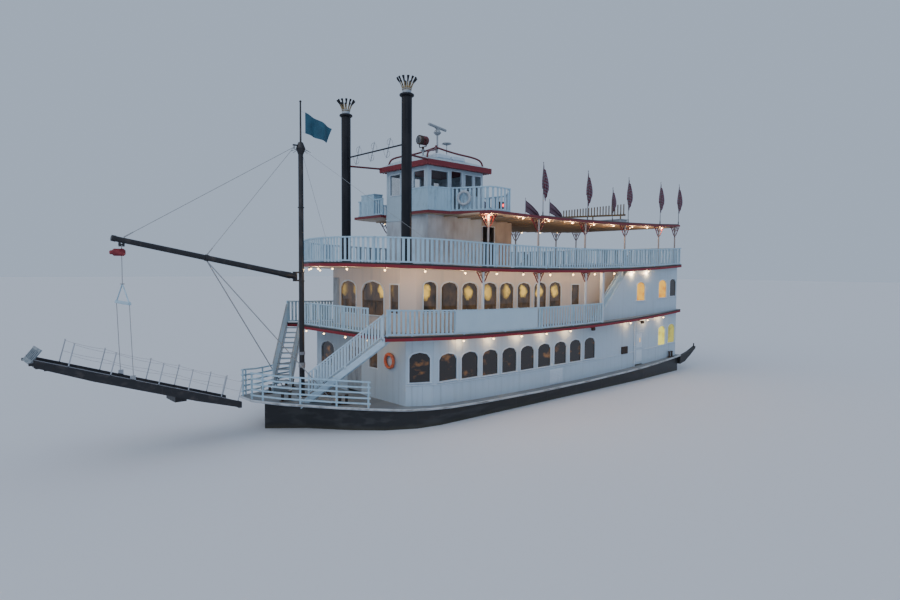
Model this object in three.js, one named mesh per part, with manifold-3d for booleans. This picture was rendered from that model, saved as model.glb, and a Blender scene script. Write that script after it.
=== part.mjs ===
// Stern-wheel paddle steamer, a three-deck river excursion boat, at its real size.
// Millimetres. +X is forward, +Y is port, +Z is up. The origin is amidships on the flat bottom.
// The decks sweep up towards both ends, so everything that stands on them is made level and
// then trimmed between two deck surfaces that have a straight run from each station to the next.
import * as THREE from 'three';
import { mergeVertices } from 'three/addons/utils/BufferGeometryUtils.js';
import Module from 'manifold-3d';

const wasm = await Module();
wasm.setup();

// Sheer of the decks: the rise above the level height, lowest a little forward of amidships.
const STATION_STEP = 4000;
const STATION_END = 18000;
const SHEER_LOW_X = 840;
const SHEER_PER_SQUARE = 2e-6;
const BOW_RISE_X = 8000;
const BOW_RISE_PER_SQUARE = 6e-6;

// Level heights of the decks, underside and top.
const MAIN_DECK = { low: 1830, high: 1930 };
const SECOND_DECK = { low: 4760, high: 4950 };
const TOP_DECK = { low: 7700, high: 7890 };
const CANOPY = { low: 10350, high: 10480 };

// Room between two pieces that rest on each other, and between moving pieces.
const TOUCH = 0.3;
const CLEAR = 8;

const WALL = 80;
const HALF_HOUSE = 4100;
const HALF_UPPER_HOUSE = 3200;
const STERN_X = -12500;
const TRANSOM_X = -12750;
const HULL_DEPTH_TOP = MAIN_DECK.low;

// Railings.
const RAIL_HEIGHT = 1075;
const RAIL_BAR = 60;
const RAIL_FOOT = 98;

// Landing-stage rig on the bow.
const MAST_X = 12500;
const MAST_RADIUS = 115;
const MAST_TOP = 13100;
const SWING_X = 12800;
const BOOM_HEEL_Z = 7490;
const BOOM_TIP = [19670, 8830];
const BOOM_RADIUS = 118;
const BOOM_TIP_RADIUS = 98;
const HOOK_X = 19380;
const BRIDLE = { x: 19300, z: 4070 };
const STAGE_HALF = 800;
const STAGE_INNER = [15500, 2650];
const STAGE_OUTER = [22100, 4900];

// Stern wheel and rudders.
const WHEEL = { x: -14500, z: 2300, radius: 1500, half: 2200 };
const WHEEL_BEAM_Y = 2400;
const RUDDER = { x: -11200, y: 1600, top: 600, low: 110, boss: 700 };

const STACK = { x: 8730, y: 2400, radius: 228, ring: 15320 };
const CABIN = { aft: 3200, front: 6850, half: 1600 };
const EAVE_Z = 12680;

const WHITE = 0xe9ecee;
const RED = 0x8c1f24;
const BLACK = 0x17181b;
const GREY = 0x8b8f92;
const TAN = 0xc9b48d;
const TEAL = 0x2c6680;
const GOLD = 0xb48a3c;
const STEEL = 0x6f7376;

const stations = [];
for (let x = -STATION_END; x <= STATION_END; x += STATION_STEP) stations.push(x);

// A curve along the boat, followed by straight lines from one station to the next.
function alongStations(curve) {
  return (x) => {
    const i = Math.min(Math.max(Math.floor((x + STATION_END) / STATION_STEP), 0), stations.length - 2);
    const share = (x - stations[i]) / STATION_STEP;
    return curve(stations[i]) * (1 - share) + curve(stations[i + 1]) * share;
  };
}

const level = () => 0;
const sheerCurve = (x) => SHEER_PER_SQUARE * (x - SHEER_LOW_X) ** 2;
const bowCurve = (x) => sheerCurve(x) + (x > BOW_RISE_X ? BOW_RISE_PER_SQUARE * (x - BOW_RISE_X) ** 2 : 0);
const sheer = alongStations(sheerCurve);
const mainSheer = alongStations(bowCurve);

// A closed three.js geometry becomes a solid that can be joined and cut.
function solid(geometry) {
  geometry.deleteAttribute('normal');
  geometry.deleteAttribute('uv');
  const merged = mergeVertices(geometry, 1e-3);
  return new wasm.Manifold(new wasm.Mesh({
    numProp: 3,
    vertProperties: new Float32Array(merged.attributes.position.array),
    triVerts: new Uint32Array(merged.index.array),
  }));
}

const joined = (pieces) => pieces.reduce((whole, piece) => whole.add(piece));
const cut = (body, tools) => tools.reduce((rest, tool) => rest.subtract(tool), body);

function shapeOf(points) {
  return new THREE.Shape(points.map(([x, y]) => new THREE.Vector2(x, y)));
}

function extrusion(points, depth) {
  return new THREE.ExtrudeGeometry(shapeOf(points), { depth, bevelEnabled: false, curveSegments: 1 });
}

// A plan outline of x, y pairs, extruded upwards.
function prism(points, low, high) {
  return solid(extrusion(points, high - low).translate(0, 0, low));
}

// A side outline of x, z pairs, extruded athwart from one y to the other.
function profile(points, yLow, yHigh) {
  return solid(extrusion(points, yHigh - yLow).rotateX(Math.PI / 2).translate(0, yHigh, 0));
}

// A frame outline of y, z pairs, extruded forward from one x to the other.
function frame(points, xLow, xHigh) {
  const turned = new THREE.Matrix4().makeBasis(
    new THREE.Vector3(0, 1, 0), new THREE.Vector3(0, 0, 1), new THREE.Vector3(1, 0, 0));
  return solid(extrusion(points, xHigh - xLow).applyMatrix4(turned).translate(xLow, 0, 0));
}

function box(x0, x1, y0, y1, z0, z1) {
  const block = new THREE.BoxGeometry(x1 - x0, y1 - y0, z1 - z0);
  return solid(block.translate((x0 + x1) / 2, (y0 + y1) / 2, (z0 + z1) / 2));
}

// A round bar from one point to the other. tipRadius tapers it.
function rod(from, to, radius, sides = 8, tipRadius = radius) {
  const start = new THREE.Vector3(...from);
  const way = new THREE.Vector3(...to).sub(start);
  const bar = new THREE.CylinderGeometry(tipRadius, radius, way.length(), sides);
  bar.translate(0, way.length() / 2, 0);
  const turn = new THREE.Quaternion().setFromUnitVectors(new THREE.Vector3(0, 1, 0), way.normalize());
  return solid(bar.applyQuaternion(turn).translate(...from));
}

// The space between two deck surfaces.
function layer(low, high, lowRise = sheer, highRise = lowRise) {
  const runs = stations.length - 1;
  const block = new THREE.BoxGeometry(runs, 16000, 2, runs, 1, 1);
  const at = block.attributes.position;
  for (let i = 0; i < at.count; i += 1) {
    const x = stations[Math.round(at.getX(i) + runs / 2)];
    at.setX(i, x);
    at.setZ(i, at.getZ(i) > 0 ? high + highRise(x) : low + lowRise(x));
  }
  return solid(block);
}

function slab(plan, low, high, lowRise = sheer, highRise = lowRise) {
  return prism(plan, low - 1000, high + 2500).intersect(layer(low, high, lowRise, highRise));
}

// The port half of a plan, given from stern to bow, with its mirror image: anticlockwise from above.
function bothSides(half) {
  const starboard = half.filter(([, y]) => y > 0).map(([x, y]) => [x, -y]);
  return starboard.concat(half.slice().reverse());
}

// An outline moved inwards by a distance, with mitred corners.
function inset(points, distance) {
  const count = points.length;
  return points.map(([x, y], i) => {
    const before = points[(i + count - 1) % count];
    const after = points[(i + 1) % count];
    const inLength = Math.hypot(x - before[0], y - before[1]);
    const outLength = Math.hypot(after[0] - x, after[1] - y);
    const inNormal = [-(y - before[1]) / inLength, (x - before[0]) / inLength];
    const outNormal = [-(after[1] - y) / outLength, (after[0] - x) / outLength];
    const mitre = 1 + inNormal[0] * outNormal[0] + inNormal[1] * outNormal[1];
    return [
      x + (distance * (inNormal[0] + outNormal[0])) / mitre,
      y + (distance * (inNormal[1] + outNormal[1])) / mitre,
    ];
  });
}

// A quarter of an ellipse from the side to the centreline ahead.
function roundFront(x, length, half, steps) {
  const points = [];
  for (let i = 0; i <= steps; i += 1) {
    const turn = ((Math.PI / 2) * i) / steps;
    points.push([x + length * Math.sin(turn), i === steps ? 0 : half * Math.cos(turn)]);
  }
  return points;
}

// A window outline with an arched head, as pairs of a place along the wall and a height.
function arch(centre, width, sill, head) {
  const rise = width * 0.28;
  const points = [[centre - width / 2, sill], [centre + width / 2, sill]];
  const steps = 4;
  for (let i = 0; i <= steps; i += 1) {
    const turn = (Math.PI * i) / steps;
    points.push([centre + (width / 2) * Math.cos(turn), head - rise + rise * Math.sin(turn)]);
  }
  return points;
}

const oblong = (centre, width, sill, head) => [
  [centre - width / 2, sill], [centre + width / 2, sill], [centre + width / 2, head], [centre - width / 2, head],
];

const lifted = (points, rise) => points.map(([s, z]) => [s, z + rise]);

const group = new THREE.Group();

// A solid as a three.js geometry.
function geometryOf(body) {
  const { vertProperties, triVerts } = body.getMesh();
  const geometry = new THREE.BufferGeometry();
  geometry.setAttribute('position', new THREE.BufferAttribute(new Float32Array(vertProperties), 3));
  geometry.setIndex(new THREE.BufferAttribute(new Uint32Array(triVerts), 1));
  return geometry;
}

function add(name, body, color, roughness = 0.6, metalness = 0) {
  const geometry = geometryOf(body);
  geometry.computeVertexNormals();
  const mesh = new THREE.Mesh(geometry, new THREE.MeshStandardMaterial({ color, roughness, metalness }));
  mesh.name = name;
  group.add(mesh);
}

// The same solid on the other side of the centreline.
function mirrored(body) {
  const geometry = geometryOf(body).scale(1, -1, 1);
  const faces = geometry.index.array;
  for (let i = 0; i < faces.length; i += 3) [faces[i], faces[i + 1]] = [faces[i + 1], faces[i]];
  return solid(geometry);
}

// A solid made level at the origin, tipped up about Y, turned about Z and moved to its place.
function placed(body, at, turn, tip = 0) {
  return solid(geometryOf(body).rotateY(-tip).rotateZ(turn).translate(...at));
}

function addPair(name, port, color, roughness, metalness) {
  add(`${name}_port`, port, color, roughness, metalness);
  add(`${name}_starboard`, mirrored(port), color, roughness, metalness);
}

// Plans of the decks, port half, from stern to bow.
const mainPlan = bothSides([
  [TRANSOM_X, 4350], [-8000, 4600], [8000, 4600], [9000, 4420], [9900, 4100], [10600, 3800],
  [11300, 3420], [12350, 2720], [13500, 1760], [14650, 880], [15000, 520],
]);
const secondPlan = bothSides([
  [-12700, 4300], [-6500, 4600], [-3000, 4700], [8000, 4700], [9000, 4500], [11100, 4200],
]);
const topPlan = bothSides([
  [-12700, 4300], [-6500, 4600], [-3000, 4700], ...roundFront(8000, 3600, 4700, 6),
]);
// The canopy reaches forward to the pilothouse's front wall: at its full width to starboard, and to port as a
// narrow walk that slants out to the full width abreast of the side doorway.
const canopyPlan = [
  [-13000, -3980], [-6500, -4300], [6700, -4300], [7100, -4150], [7100, 1900], [6100, 2320], [5250, 4150],
  [4900, 4300], [-6500, 4300], [-13000, 3980],
];
const canopyHalf = (x) => 4300 - 300 * Math.max(0, (-6500 - x) / 6100);

// Hull: one decked solid with a sharp stem, vertical sides, and a flat bottom that rakes up at both ends.
const hullPlan = bothSides([
  [TRANSOM_X, 4150], [-8000, 4350], [8400, 4350], [9500, 4150], [10700, 3500],
  [11700, 2550], [12900, 1050], [14200, 0],
]);
const hullSide = [
  [-8500, 0], [10500, 0], [12800, 420], [14300, 950], [14300, 4000], [-12900, 4000], [-12900, 1230],
];
const rudderBosses = [-1, 1].map((side) => box(
  RUDDER.x - 160, RUDDER.x + 160, side * RUDDER.y - 160, side * RUDDER.y + 160, RUDDER.boss, 1200));
const hull = prism(hullPlan, -10, 4000)
  .intersect(profile(hullSide, -5000, 5000))
  .intersect(layer(-10, HULL_DEPTH_TOP - TOUCH, level, mainSheer));
add('hull', joined([hull, ...rudderBosses]), BLACK, 0.5);

add('main_deck', slab(mainPlan, MAIN_DECK.low, MAIN_DECK.high, mainSheer), WHITE, 0.7);

// Stairwells of the two stairs that rise aft from the second deck to the top deck.
const STAIRWELL = { aft: -7000, front: -4700, low: 3230, high: 4020 };
const stairwells = [-1, 1].map((side) => box(
  STAIRWELL.aft, STAIRWELL.front,
  Math.min(side * STAIRWELL.low, side * STAIRWELL.high), Math.max(side * STAIRWELL.low, side * STAIRWELL.high),
  7000, 9000));

// Square posts between two decks, fused to the deck above.
function posts(places, foot, head, halfWidth) {
  const space = layer(foot + TOUCH, head + 20);
  return places.flatMap(([x, size]) => [-1, 1].map((side) => box(
    x - size / 2, x + size / 2, side * halfWidth - size / 2, side * halfWidth + size / 2,
    foot - 500, head + 900).intersect(space)));
}

// The front stairs leave the second deck through wells at its front corners and run down inboard.
const FRONT_STAIR = {
  x: 10800, y: 3850, turn: THREE.MathUtils.degToRad(-52), half: 400, foot: 12990, runPerDrop: 1.3,
};
const frontStairTop = SECOND_DECK.high + sheer(FRONT_STAIR.x);
const frontWell = placed(
  box(0, 1500, -FRONT_STAIR.half - TOUCH, FRONT_STAIR.half + TOUCH, -1000, 1000),
  [FRONT_STAIR.x, FRONT_STAIR.y, frontStairTop], FRONT_STAIR.turn);
add('second_deck', cut(
  slab(secondPlan, SECOND_DECK.low, SECOND_DECK.high), [frontWell, mirrored(frontWell)]), RED, 0.6);

const SECOND_POST_LINE = 4520;
const SECOND_POSTS = [[6100, 90], [2250, 90], [-1650, 90], [-3200, 170]];
const secondPosts = posts(SECOND_POSTS, SECOND_DECK.high, TOP_DECK.low, SECOND_POST_LINE);
add('top_deck', cut(
  joined([slab(topPlan, TOP_DECK.low, TOP_DECK.high), ...secondPosts]), stairwells), RED, 0.6);

const NOTCH = { aft: CABIN.front + 1, low: -1750, high: -50 };
const CANOPY_POSTS = [
  [5100, 3850], [1900, 4190], [-2020, 4190], [-5940, 4190], [-10160, 4010], [-12450, 3900],
];
const CANOPY_POST_SIZE = 70;
const canopyPosts = CANOPY_POSTS.flatMap(([x, y]) => posts(
  [[x, CANOPY_POST_SIZE]], TOP_DECK.high, CANOPY.low, y));
add('canopy_roof', joined([
  cut(slab(canopyPlan, CANOPY.low, CANOPY.high), [box(NOTCH.aft, 9500, NOTCH.low, NOTCH.high, 9000, 12000)]),
  ...canopyPosts,
]), TAN, 0.7);

// Doors: a leaf hung on lugs outside the wall face, in an opening with room all round.
// The lugs of the wall stand above and below each lug of the leaf, on the hinge line.
const HINGE_OUT = 18;
const LUG = { radius: 12, leaf: 120, wall: 40 };

// A frame for one door: its place along the wall runs from the hinge line to the latch.
function door({ hinge, along, out, width, low, high, lugHeights }) {
  const place = (s0, s1, t0, t1, z0, z1) => {
    const corners = [[s0, t0], [s1, t1]].map(([s, t]) => [
      hinge[0] + along[0] * s + out[0] * t, hinge[1] + along[1] * s + out[1] * t]);
    return box(
      Math.min(corners[0][0], corners[1][0]), Math.max(corners[0][0], corners[1][0]),
      Math.min(corners[0][1], corners[1][1]), Math.max(corners[0][1], corners[1][1]), z0, z1);
  };
  const pin = (z0, z1) => rod(
    [hinge[0] + out[0] * HINGE_OUT, hinge[1] + out[1] * HINGE_OUT, z0],
    [hinge[0] + out[0] * HINGE_OUT, hinge[1] + out[1] * HINGE_OUT, z1], LUG.radius);
  const leafParts = [place(0, width, -45, 0, low, high)];
  const wallParts = [];
  for (const z of lugHeights) {
    leafParts.push(pin(z, z + LUG.leaf), place(0, 10, -5, HINGE_OUT, z, z + LUG.leaf));
    for (const start of [z - LUG.wall - TOUCH, z + LUG.leaf + TOUCH]) {
      wallParts.push(pin(start, start + LUG.wall), place(-50, 0, -5, HINGE_OUT, start, start + LUG.wall));
    }
  }
  const opening = place(-CLEAR, width + CLEAR, -200, 100, low - 300, high + CLEAR);
  return { leaf: joined(leafParts), wallParts, opening };
}

const sideDoorLow = MAIN_DECK.high + mainSheer(-8200) + 60;
const mainSideDoor = door({
  hinge: [-7450, HALF_HOUSE], along: [-1, 0], out: [0, 1], width: 900,
  low: sideDoorLow, high: sideDoorLow + 2000, lugHeights: [sideDoorLow + 300, sideDoorLow + 1500],
});
const FRONT_X = 9700;
const FRONT_DOOR_WIDTH = 1150;
const frontDoorLow = MAIN_DECK.high + mainSheer(FRONT_X + FRONT_DOOR_WIDTH + HINGE_OUT) + 25;
const mainFrontDoor = door({
  hinge: [FRONT_X, 350], along: [0, -1], out: [1, 0], width: FRONT_DOOR_WIDTH,
  low: frontDoorLow, high: frontDoorLow + 2000, lugHeights: [frontDoorLow + 300, frontDoorLow + 1500],
});

// Main-deck house: a hollow shell with its windows cut, then parted where its panels meet.
const mainHousePlan = bothSides([[STERN_X, HALF_HOUSE], [8600, HALF_HOUSE], [FRONT_X, 3600]]);
const mainShell = cut(prism(mainHousePlan, 1000, 6500), [prism(inset(mainHousePlan, WALL), 500, 7000)])
  .intersect(layer(MAIN_DECK.high + TOUCH, SECOND_DECK.low - TOUCH, mainSheer, sheer));

const SALOON_PITCH = 1316;
const mainWindows = [];
for (let i = 0; i < 9; i += 1) mainWindows.push([7780 - SALOON_PITCH * i, 1030, 2950, 4120]);
mainWindows.push([-10640, 880, 2850, 4050], [-11890, 880, 2850, 4050]);
const sideCut = ([x, width, sill, head]) => profile(lifted(arch(x, width, sill, head), sheer(x)), -6000, 6000);

// An opening cut square to a wall that runs from one plan point to the other.
function cutAcross([from, to], outline, depth = 600) {
  const along = new THREE.Vector3(to[0] - from[0], to[1] - from[1], 0).normalize();
  const up = new THREE.Vector3(0, 0, 1);
  const turned = new THREE.Matrix4().makeBasis(along, up, along.clone().cross(up));
  return solid(extrusion(outline, depth).translate(0, 0, -depth / 2).applyMatrix4(turned)
    .translate(from[0], from[1], 0));
}

const facetRise = sheer(9150);
const facetCuts = [1, -1].map((side) => cutAcross(
  [[8600, side * HALF_HOUSE], [FRONT_X, side * 3600]], lifted(arch(604, 900, 2950, 4200), facetRise)));
const acrossAt = (x, outline) => cutAcross([[x, 0], [x, 1000]], outline);
const mainFrontCuts = [
  acrossAt(FRONT_X, lifted(arch(-2560, 1200, 2950, 4120), sheer(FRONT_X))),
  acrossAt(FRONT_X, lifted(oblong(1300, 640, 3300, 4050), sheer(FRONT_X))),
];
const sternCuts = (sill, head) => [-2600, 0, 2600].map((y) => acrossAt(
  STERN_X, lifted(arch(y, 880, sill, head), sheer(STERN_X))));

const mainHouse = cut(mainShell, [
  ...mainWindows.map(sideCut), ...facetCuts, ...mainFrontCuts, ...sternCuts(2850, 4050)]);
const HOUSE_SPAN = 5000;
const sternPart = (shell) => shell.intersect(box(-13500, STERN_X + WALL, -HOUSE_SPAN, HOUSE_SPAN, 0, 9000));
const sideRun = (shell, front) => shell.intersect(
  box(STERN_X + WALL + TOUCH, front - TOUCH, 0, HOUSE_SPAN, 0, 9000));
const frontPart = (shell, x) => shell.intersect(box(x, 14000, -HOUSE_SPAN, HOUSE_SPAN, 0, 9000));

const mainSide = joined([cut(sideRun(mainHouse, 8600), [mainSideDoor.opening]), ...mainSideDoor.wallParts]);
addPair('main_house', mainSide, WHITE);
add('main_house_front',
  joined([cut(frontPart(mainHouse, 8600), [mainFrontDoor.opening]), ...mainFrontDoor.wallParts]), WHITE);
add('main_house_stern', sternPart(mainHouse), WHITE);
addPair('main_side_door', mainSideDoor.leaf, WHITE);
add('main_front_door', mainFrontDoor.leaf, GREY, 0.4);

const engineFloor = MAIN_DECK.high + mainSheer(-10000);
add('drive_engine', box(-11400, -8800, -700, 700, engineFloor - 400, engineFloor + 1500)
  .intersect(layer(MAIN_DECK.high + TOUCH, 9000, mainSheer)), STEEL, 0.5, 0.4);

// Second-deck house: narrow, with a walk around it, and full width from the aft stairs to the stern.
const UPPER_FRONT_X = 9300;
const STEP_X = STAIRWELL.aft - 60;
const upperPlan = bothSides([
  [STERN_X, HALF_HOUSE], [STEP_X, HALF_HOUSE], [STEP_X, HALF_UPPER_HOUSE],
  [8800, HALF_UPPER_HOUSE], [UPPER_FRONT_X, 2700],
]);
const upperShell = cut(prism(upperPlan, 4000, 9500), [prism(inset(upperPlan, WALL), 3500, 9900)])
  .intersect(layer(SECOND_DECK.high + TOUCH, TOP_DECK.low - TOUCH));
const upperWindows = [
  [8045, 750], [6895, 990], [5620, 990], [4300, 990], [3080, 990], [1780, 990], [480, 990], [-770, 990],
].map(([x, width]) => [x, width, 5850, 7180]);
const upperAftWindows = [[-8000, 930], [-10630, 960], [-11960, 800]].map(([x, width]) => [x, width, 5870, 6980]);
const upperSideOblong = profile(lifted(oblong(-2590, 720, 5900, 7000), sheer(-2590)), -6000, 6000);
const upperFrontCuts = [[-1330, 1300], [670, 1700]].map(([y, width]) => acrossAt(
  UPPER_FRONT_X, lifted(arch(y, width, 5600, 7120), sheer(UPPER_FRONT_X))));
upperFrontCuts.push(acrossAt(UPPER_FRONT_X, lifted(oblong(2300, 600, 5750, 7000), sheer(UPPER_FRONT_X))));
const upperHouse = cut(upperShell, [
  ...upperWindows.map(sideCut), ...upperAftWindows.map(sideCut), upperSideOblong, ...upperFrontCuts,
  ...sternCuts(5870, 6980),
]);

// The side wall closes each aft stair off outboard, and its leading edge slopes with the stair.
const wing = profile([[-3650, 4000], [-3650, 5200], [-6550, 7900], [STEP_X - 5, 7900], [STEP_X - 5, 4000]],
  HALF_HOUSE - WALL, HALF_HOUSE).intersect(layer(SECOND_DECK.high + TOUCH, TOP_DECK.low - TOUCH));
addPair('upper_house', joined([sideRun(upperHouse, 8800), wing]), WHITE);
add('upper_house_front', frontPart(upperHouse, 8800), WHITE);
add('upper_house_stern', sternPart(upperHouse), WHITE);

// A stair in its own frame: it goes down along +x from its top nosing at the origin.
const STEP_RISE = 205;
const STRINGER = 330;
const HANDRAIL = { low: 900, high: 960, width: 50, aft: 60 };
function stair(run, drop, half, railSide) {
  const slope = drop / run;
  const steps = Math.round(drop / STEP_RISE);
  const flight = [[-200, -STRINGER], [-200, 0]];
  for (let i = 0; i <= steps; i += 1) {
    const z = -(drop * i) / steps;
    flight.push([(run * i) / steps, z], [(run * i) / steps, z - drop / steps]);
  }
  flight.push([run + 400, -drop - drop / steps], [run + 400, -STRINGER - slope * (run + 400)], [0, -STRINGER]);
  const pieces = [profile(flight.reverse(), -half, half)];
  const railAt = (x, lift) => [x, lift - slope * x];
  const railEnd = run - 365;
  for (const side of railSide) {
    const y = side * (half - HANDRAIL.width / 2);
    const [yLow, yHigh] = [y - HANDRAIL.width / 2, y + HANDRAIL.width / 2];
    pieces.push(profile([
      railAt(HANDRAIL.aft, HANDRAIL.low), railAt(railEnd, HANDRAIL.low),
      railAt(railEnd, HANDRAIL.high), railAt(HANDRAIL.aft, HANDRAIL.high)], yLow, yHigh));
    for (const x of [HANDRAIL.aft + 35, railEnd - 35]) {
      pieces.push(box(x - 35, x + 35, yLow, yHigh, -slope * x - 260, -slope * x + HANDRAIL.low + 25));
    }
  }
  return joined(pieces);
}

const frontStairDrop = frontStairTop - (MAIN_DECK.high + mainSheer(FRONT_STAIR.foot));
const frontStairRun = frontStairDrop * FRONT_STAIR.runPerDrop;
const frontStairFlight = stair(frontStairRun, frontStairDrop, FRONT_STAIR.half, [-1, 1])
  .intersect(box(TOUCH, 9000, -1000, 1000, -5000, 2000));
const frontStair = placed(frontStairFlight, [FRONT_STAIR.x, FRONT_STAIR.y, frontStairTop], FRONT_STAIR.turn)
  .intersect(layer(MAIN_DECK.high + TOUCH, 9000, mainSheer, sheer));
addPair('front_stair', frontStair, WHITE);

// The aft stairs go down forward from the top deck, inside the wing of the side wall.
const aftStairTop = TOP_DECK.high + sheer(STAIRWELL.aft);
const aftStairDrop = aftStairTop - (SECOND_DECK.high + sheer(-3700));
const aftStairRun = 3250;
const aftStair = placed(stair(aftStairRun, aftStairDrop, 330, [1]),
  [STAIRWELL.aft + 10, (STAIRWELL.low + STAIRWELL.high) / 2, aftStairTop], 0)
  .intersect(box(STAIRWELL.aft + TOUCH, 0, 0, 6000, 0, 12000))
  .intersect(layer(SECOND_DECK.high + TOUCH, 12000, sheer));
addPair('aft_stair', aftStair, WHITE);

// A railing along a plan outline: a foot bar and a top bar with posts between them.
function railing(plan, deck, postPlaces, {
  height = RAIL_HEIGHT, rise = sheer, bars = [RAIL_FOOT, height], back = 30,
}) {
  const ring = (low, high) => cut(
    slab(inset(plan, back), low, high, rise),
    [prism(inset(plan, back + RAIL_BAR), low - 2000, high + 3000)]);
  const pieces = bars.map((top) => ring(deck + top - RAIL_BAR, deck + top));
  const space = layer(deck + TOUCH, deck + height, rise);
  const middle = inset(plan, back + RAIL_BAR / 2);
  for (const share of postPlaces(middle)) {
    const [x, y] = share;
    pieces.push(box(x - 28, x + 28, y - 28, y + 28, deck - 500, deck + height + 1500).intersect(space));
  }
  return joined(pieces);
}

// Places along both sides of an outline at given x, and the width of the outline there.
function sidePlaces(xs) {
  return (outline) => xs.flatMap((x) => {
    const found = [];
    outline.forEach(([x0, y0], i) => {
      const [x1, y1] = outline[(i + 1) % outline.length];
      if ((x0 - x) * (x1 - x) < 0) found.push([x, y0 + ((y1 - y0) * (x - x0)) / (x1 - x0)]);
    });
    return found;
  });
}

function everyPlace(from, to, step) {
  const places = [];
  for (let x = from; x <= to; x += step) places.push(x);
  return places;
}

const frontCorner = 11060;
const RAIL_FRONT_HALF = 2840;
const secondRing = railing(secondPlan, SECOND_DECK.high, (outline) => [
  ...sidePlaces(everyPlace(-3060, 10000, 2600))(outline),
  ...[4140, RAIL_FRONT_HALF - 35, 1000].flatMap((y) => [[frontCorner - 20, y], [frontCorner - 20, -y]]),
], {});
addPair('second_rail', secondRing.intersect(box(-3110, 12000, 3300, 6000, 4000, 8000))
  .subtract(box(10980, 12000, 3000, 4085, 4000, 8000)), WHITE);
add('second_rail_front', secondRing.intersect(
  box(10900, 12000, -RAIL_FRONT_HALF, RAIL_FRONT_HALF, 4000, 8000)), WHITE);

const BANNER = { aft: 2490, front: 7900, low: 5060, high: 6000 };
addPair('banner_board', slab([
  [BANNER.aft, 4670 + TOUCH], [BANNER.front, 4670 + TOUCH], [BANNER.front, 4685], [BANNER.aft, 4685],
], BANNER.low, BANNER.high), WHITE, 0.5);

add('top_deck_rail', railing(topPlan, TOP_DECK.high, (outline) => [
  ...sidePlaces(everyPlace(-12500, 9000, 3580))(outline),
  [11520, 0], [10780, 2900], [10780, -2900], [-12640, 0], [-12640, 2100], [-12640, -2100],
], {}), WHITE);

// The walk round the pilothouse has a railing, lower to starboard, where a locker stands at its front corner.
// It is open ahead where the front wall has no deck outside it.
const WALK = { portHeight: 1130, starboardHeight: 850, front: 7000 };
const walkPlan = [
  [2100, -2300], [3850, -4150], [6650, -4150], [WALK.front, -4000], [WALK.front, 1780], [5980, 2230],
  [5180, 4030], [4850, 4130], [3850, 4130], [2100, 2300],
];
const walkRing = (height) => railing(walkPlan, CANOPY.high, (outline) => [
  ...sidePlaces([2600, 3900, 5200, 5940, 6600])(outline),
  [2160, 0], [WALK.front - 60, NOTCH.low - 65], [WALK.front - 60, NOTCH.high + 95],
], { height, bars: [RAIL_FOOT, height] });
const walkGap = box(WALK.front - 200, WALK.front + 200, NOTCH.low - 30, NOTCH.high + 60, 10000, 13000);
const WALK_LOCKER = { aft: 6420, front: 6960, low: -3700, high: -2550, top: 11680 };
add('pilothouse_rail', cut(joined([
  walkRing(WALK.portHeight).intersect(box(1000, 8000, -1000, 5000, 10000, 13000)),
  walkRing(WALK.starboardHeight).intersect(box(1000, 8000, -5000, -990, 10000, 13000)),
  box(WALK_LOCKER.aft, WALK_LOCKER.front, WALK_LOCKER.low, WALK_LOCKER.high, 10000, WALK_LOCKER.top)
    .intersect(layer(CANOPY.high + TOUCH, 12000, sheer, level)),
]), [walkGap]), WHITE);

// Foredeck railing: horizontal bars, open at the head for the landing stage.
const bowRing = railing(mainPlan, MAIN_DECK.high, (outline) => [
  ...sidePlaces([11360, 12400, 13500, 14650])(outline), [14930, 420], [14930, -420],
], { rise: mainSheer, height: 1080, bars: [200, 420, 640, 860, 1080] });
addPair('bow_rail', bowRing.intersect(box(11300, 15200, 380, 6000, 1000, 5000)), WHITE);

// Cabin under the pilothouse, longer than it and with an open doorway in each side and aft, and the
// pilothouse with its doors and windows.
const cabinPlan = bothSides([[CABIN.aft, CABIN.half], [CABIN.front, CABIN.half]]);
const tube = (plan) => cut(prism(plan, 6000, 14000), [prism(inset(plan, WALL), 5000, 15000)]);
const LOWER_CABIN = { aft: 980, doorAft: 2330, doorFront: 3190, doorHead: 10050 };
const lowerCabinPlan = bothSides([[LOWER_CABIN.aft, CABIN.half], [CABIN.front, CABIN.half]]);
const cabinDoorways = [
  box(LOWER_CABIN.aft - 200, LOWER_CABIN.aft + 200, -1420, -620, 7000, LOWER_CABIN.doorHead),
  box(LOWER_CABIN.doorAft, LOWER_CABIN.doorFront, -3000, 3000, 7000, LOWER_CABIN.doorHead),
];
add('tower_cabin', cut(
  tube(lowerCabinPlan).intersect(layer(TOP_DECK.high + TOUCH, CANOPY.low - TOUCH)), cabinDoorways), WHITE);

const pilotDoorLow = CANOPY.high + sheer(CABIN.aft) + 60;
const pilotDoor = door({
  hinge: [CABIN.aft, 400], along: [0, -1], out: [-1, 0], width: 800,
  low: pilotDoorLow, high: pilotDoorLow + 1850, lugHeights: [pilotDoorLow + 250, pilotDoorLow + 1450],
});
const PILOT_SILL = 11480;
const PILOT_HEAD = 12480;
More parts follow.
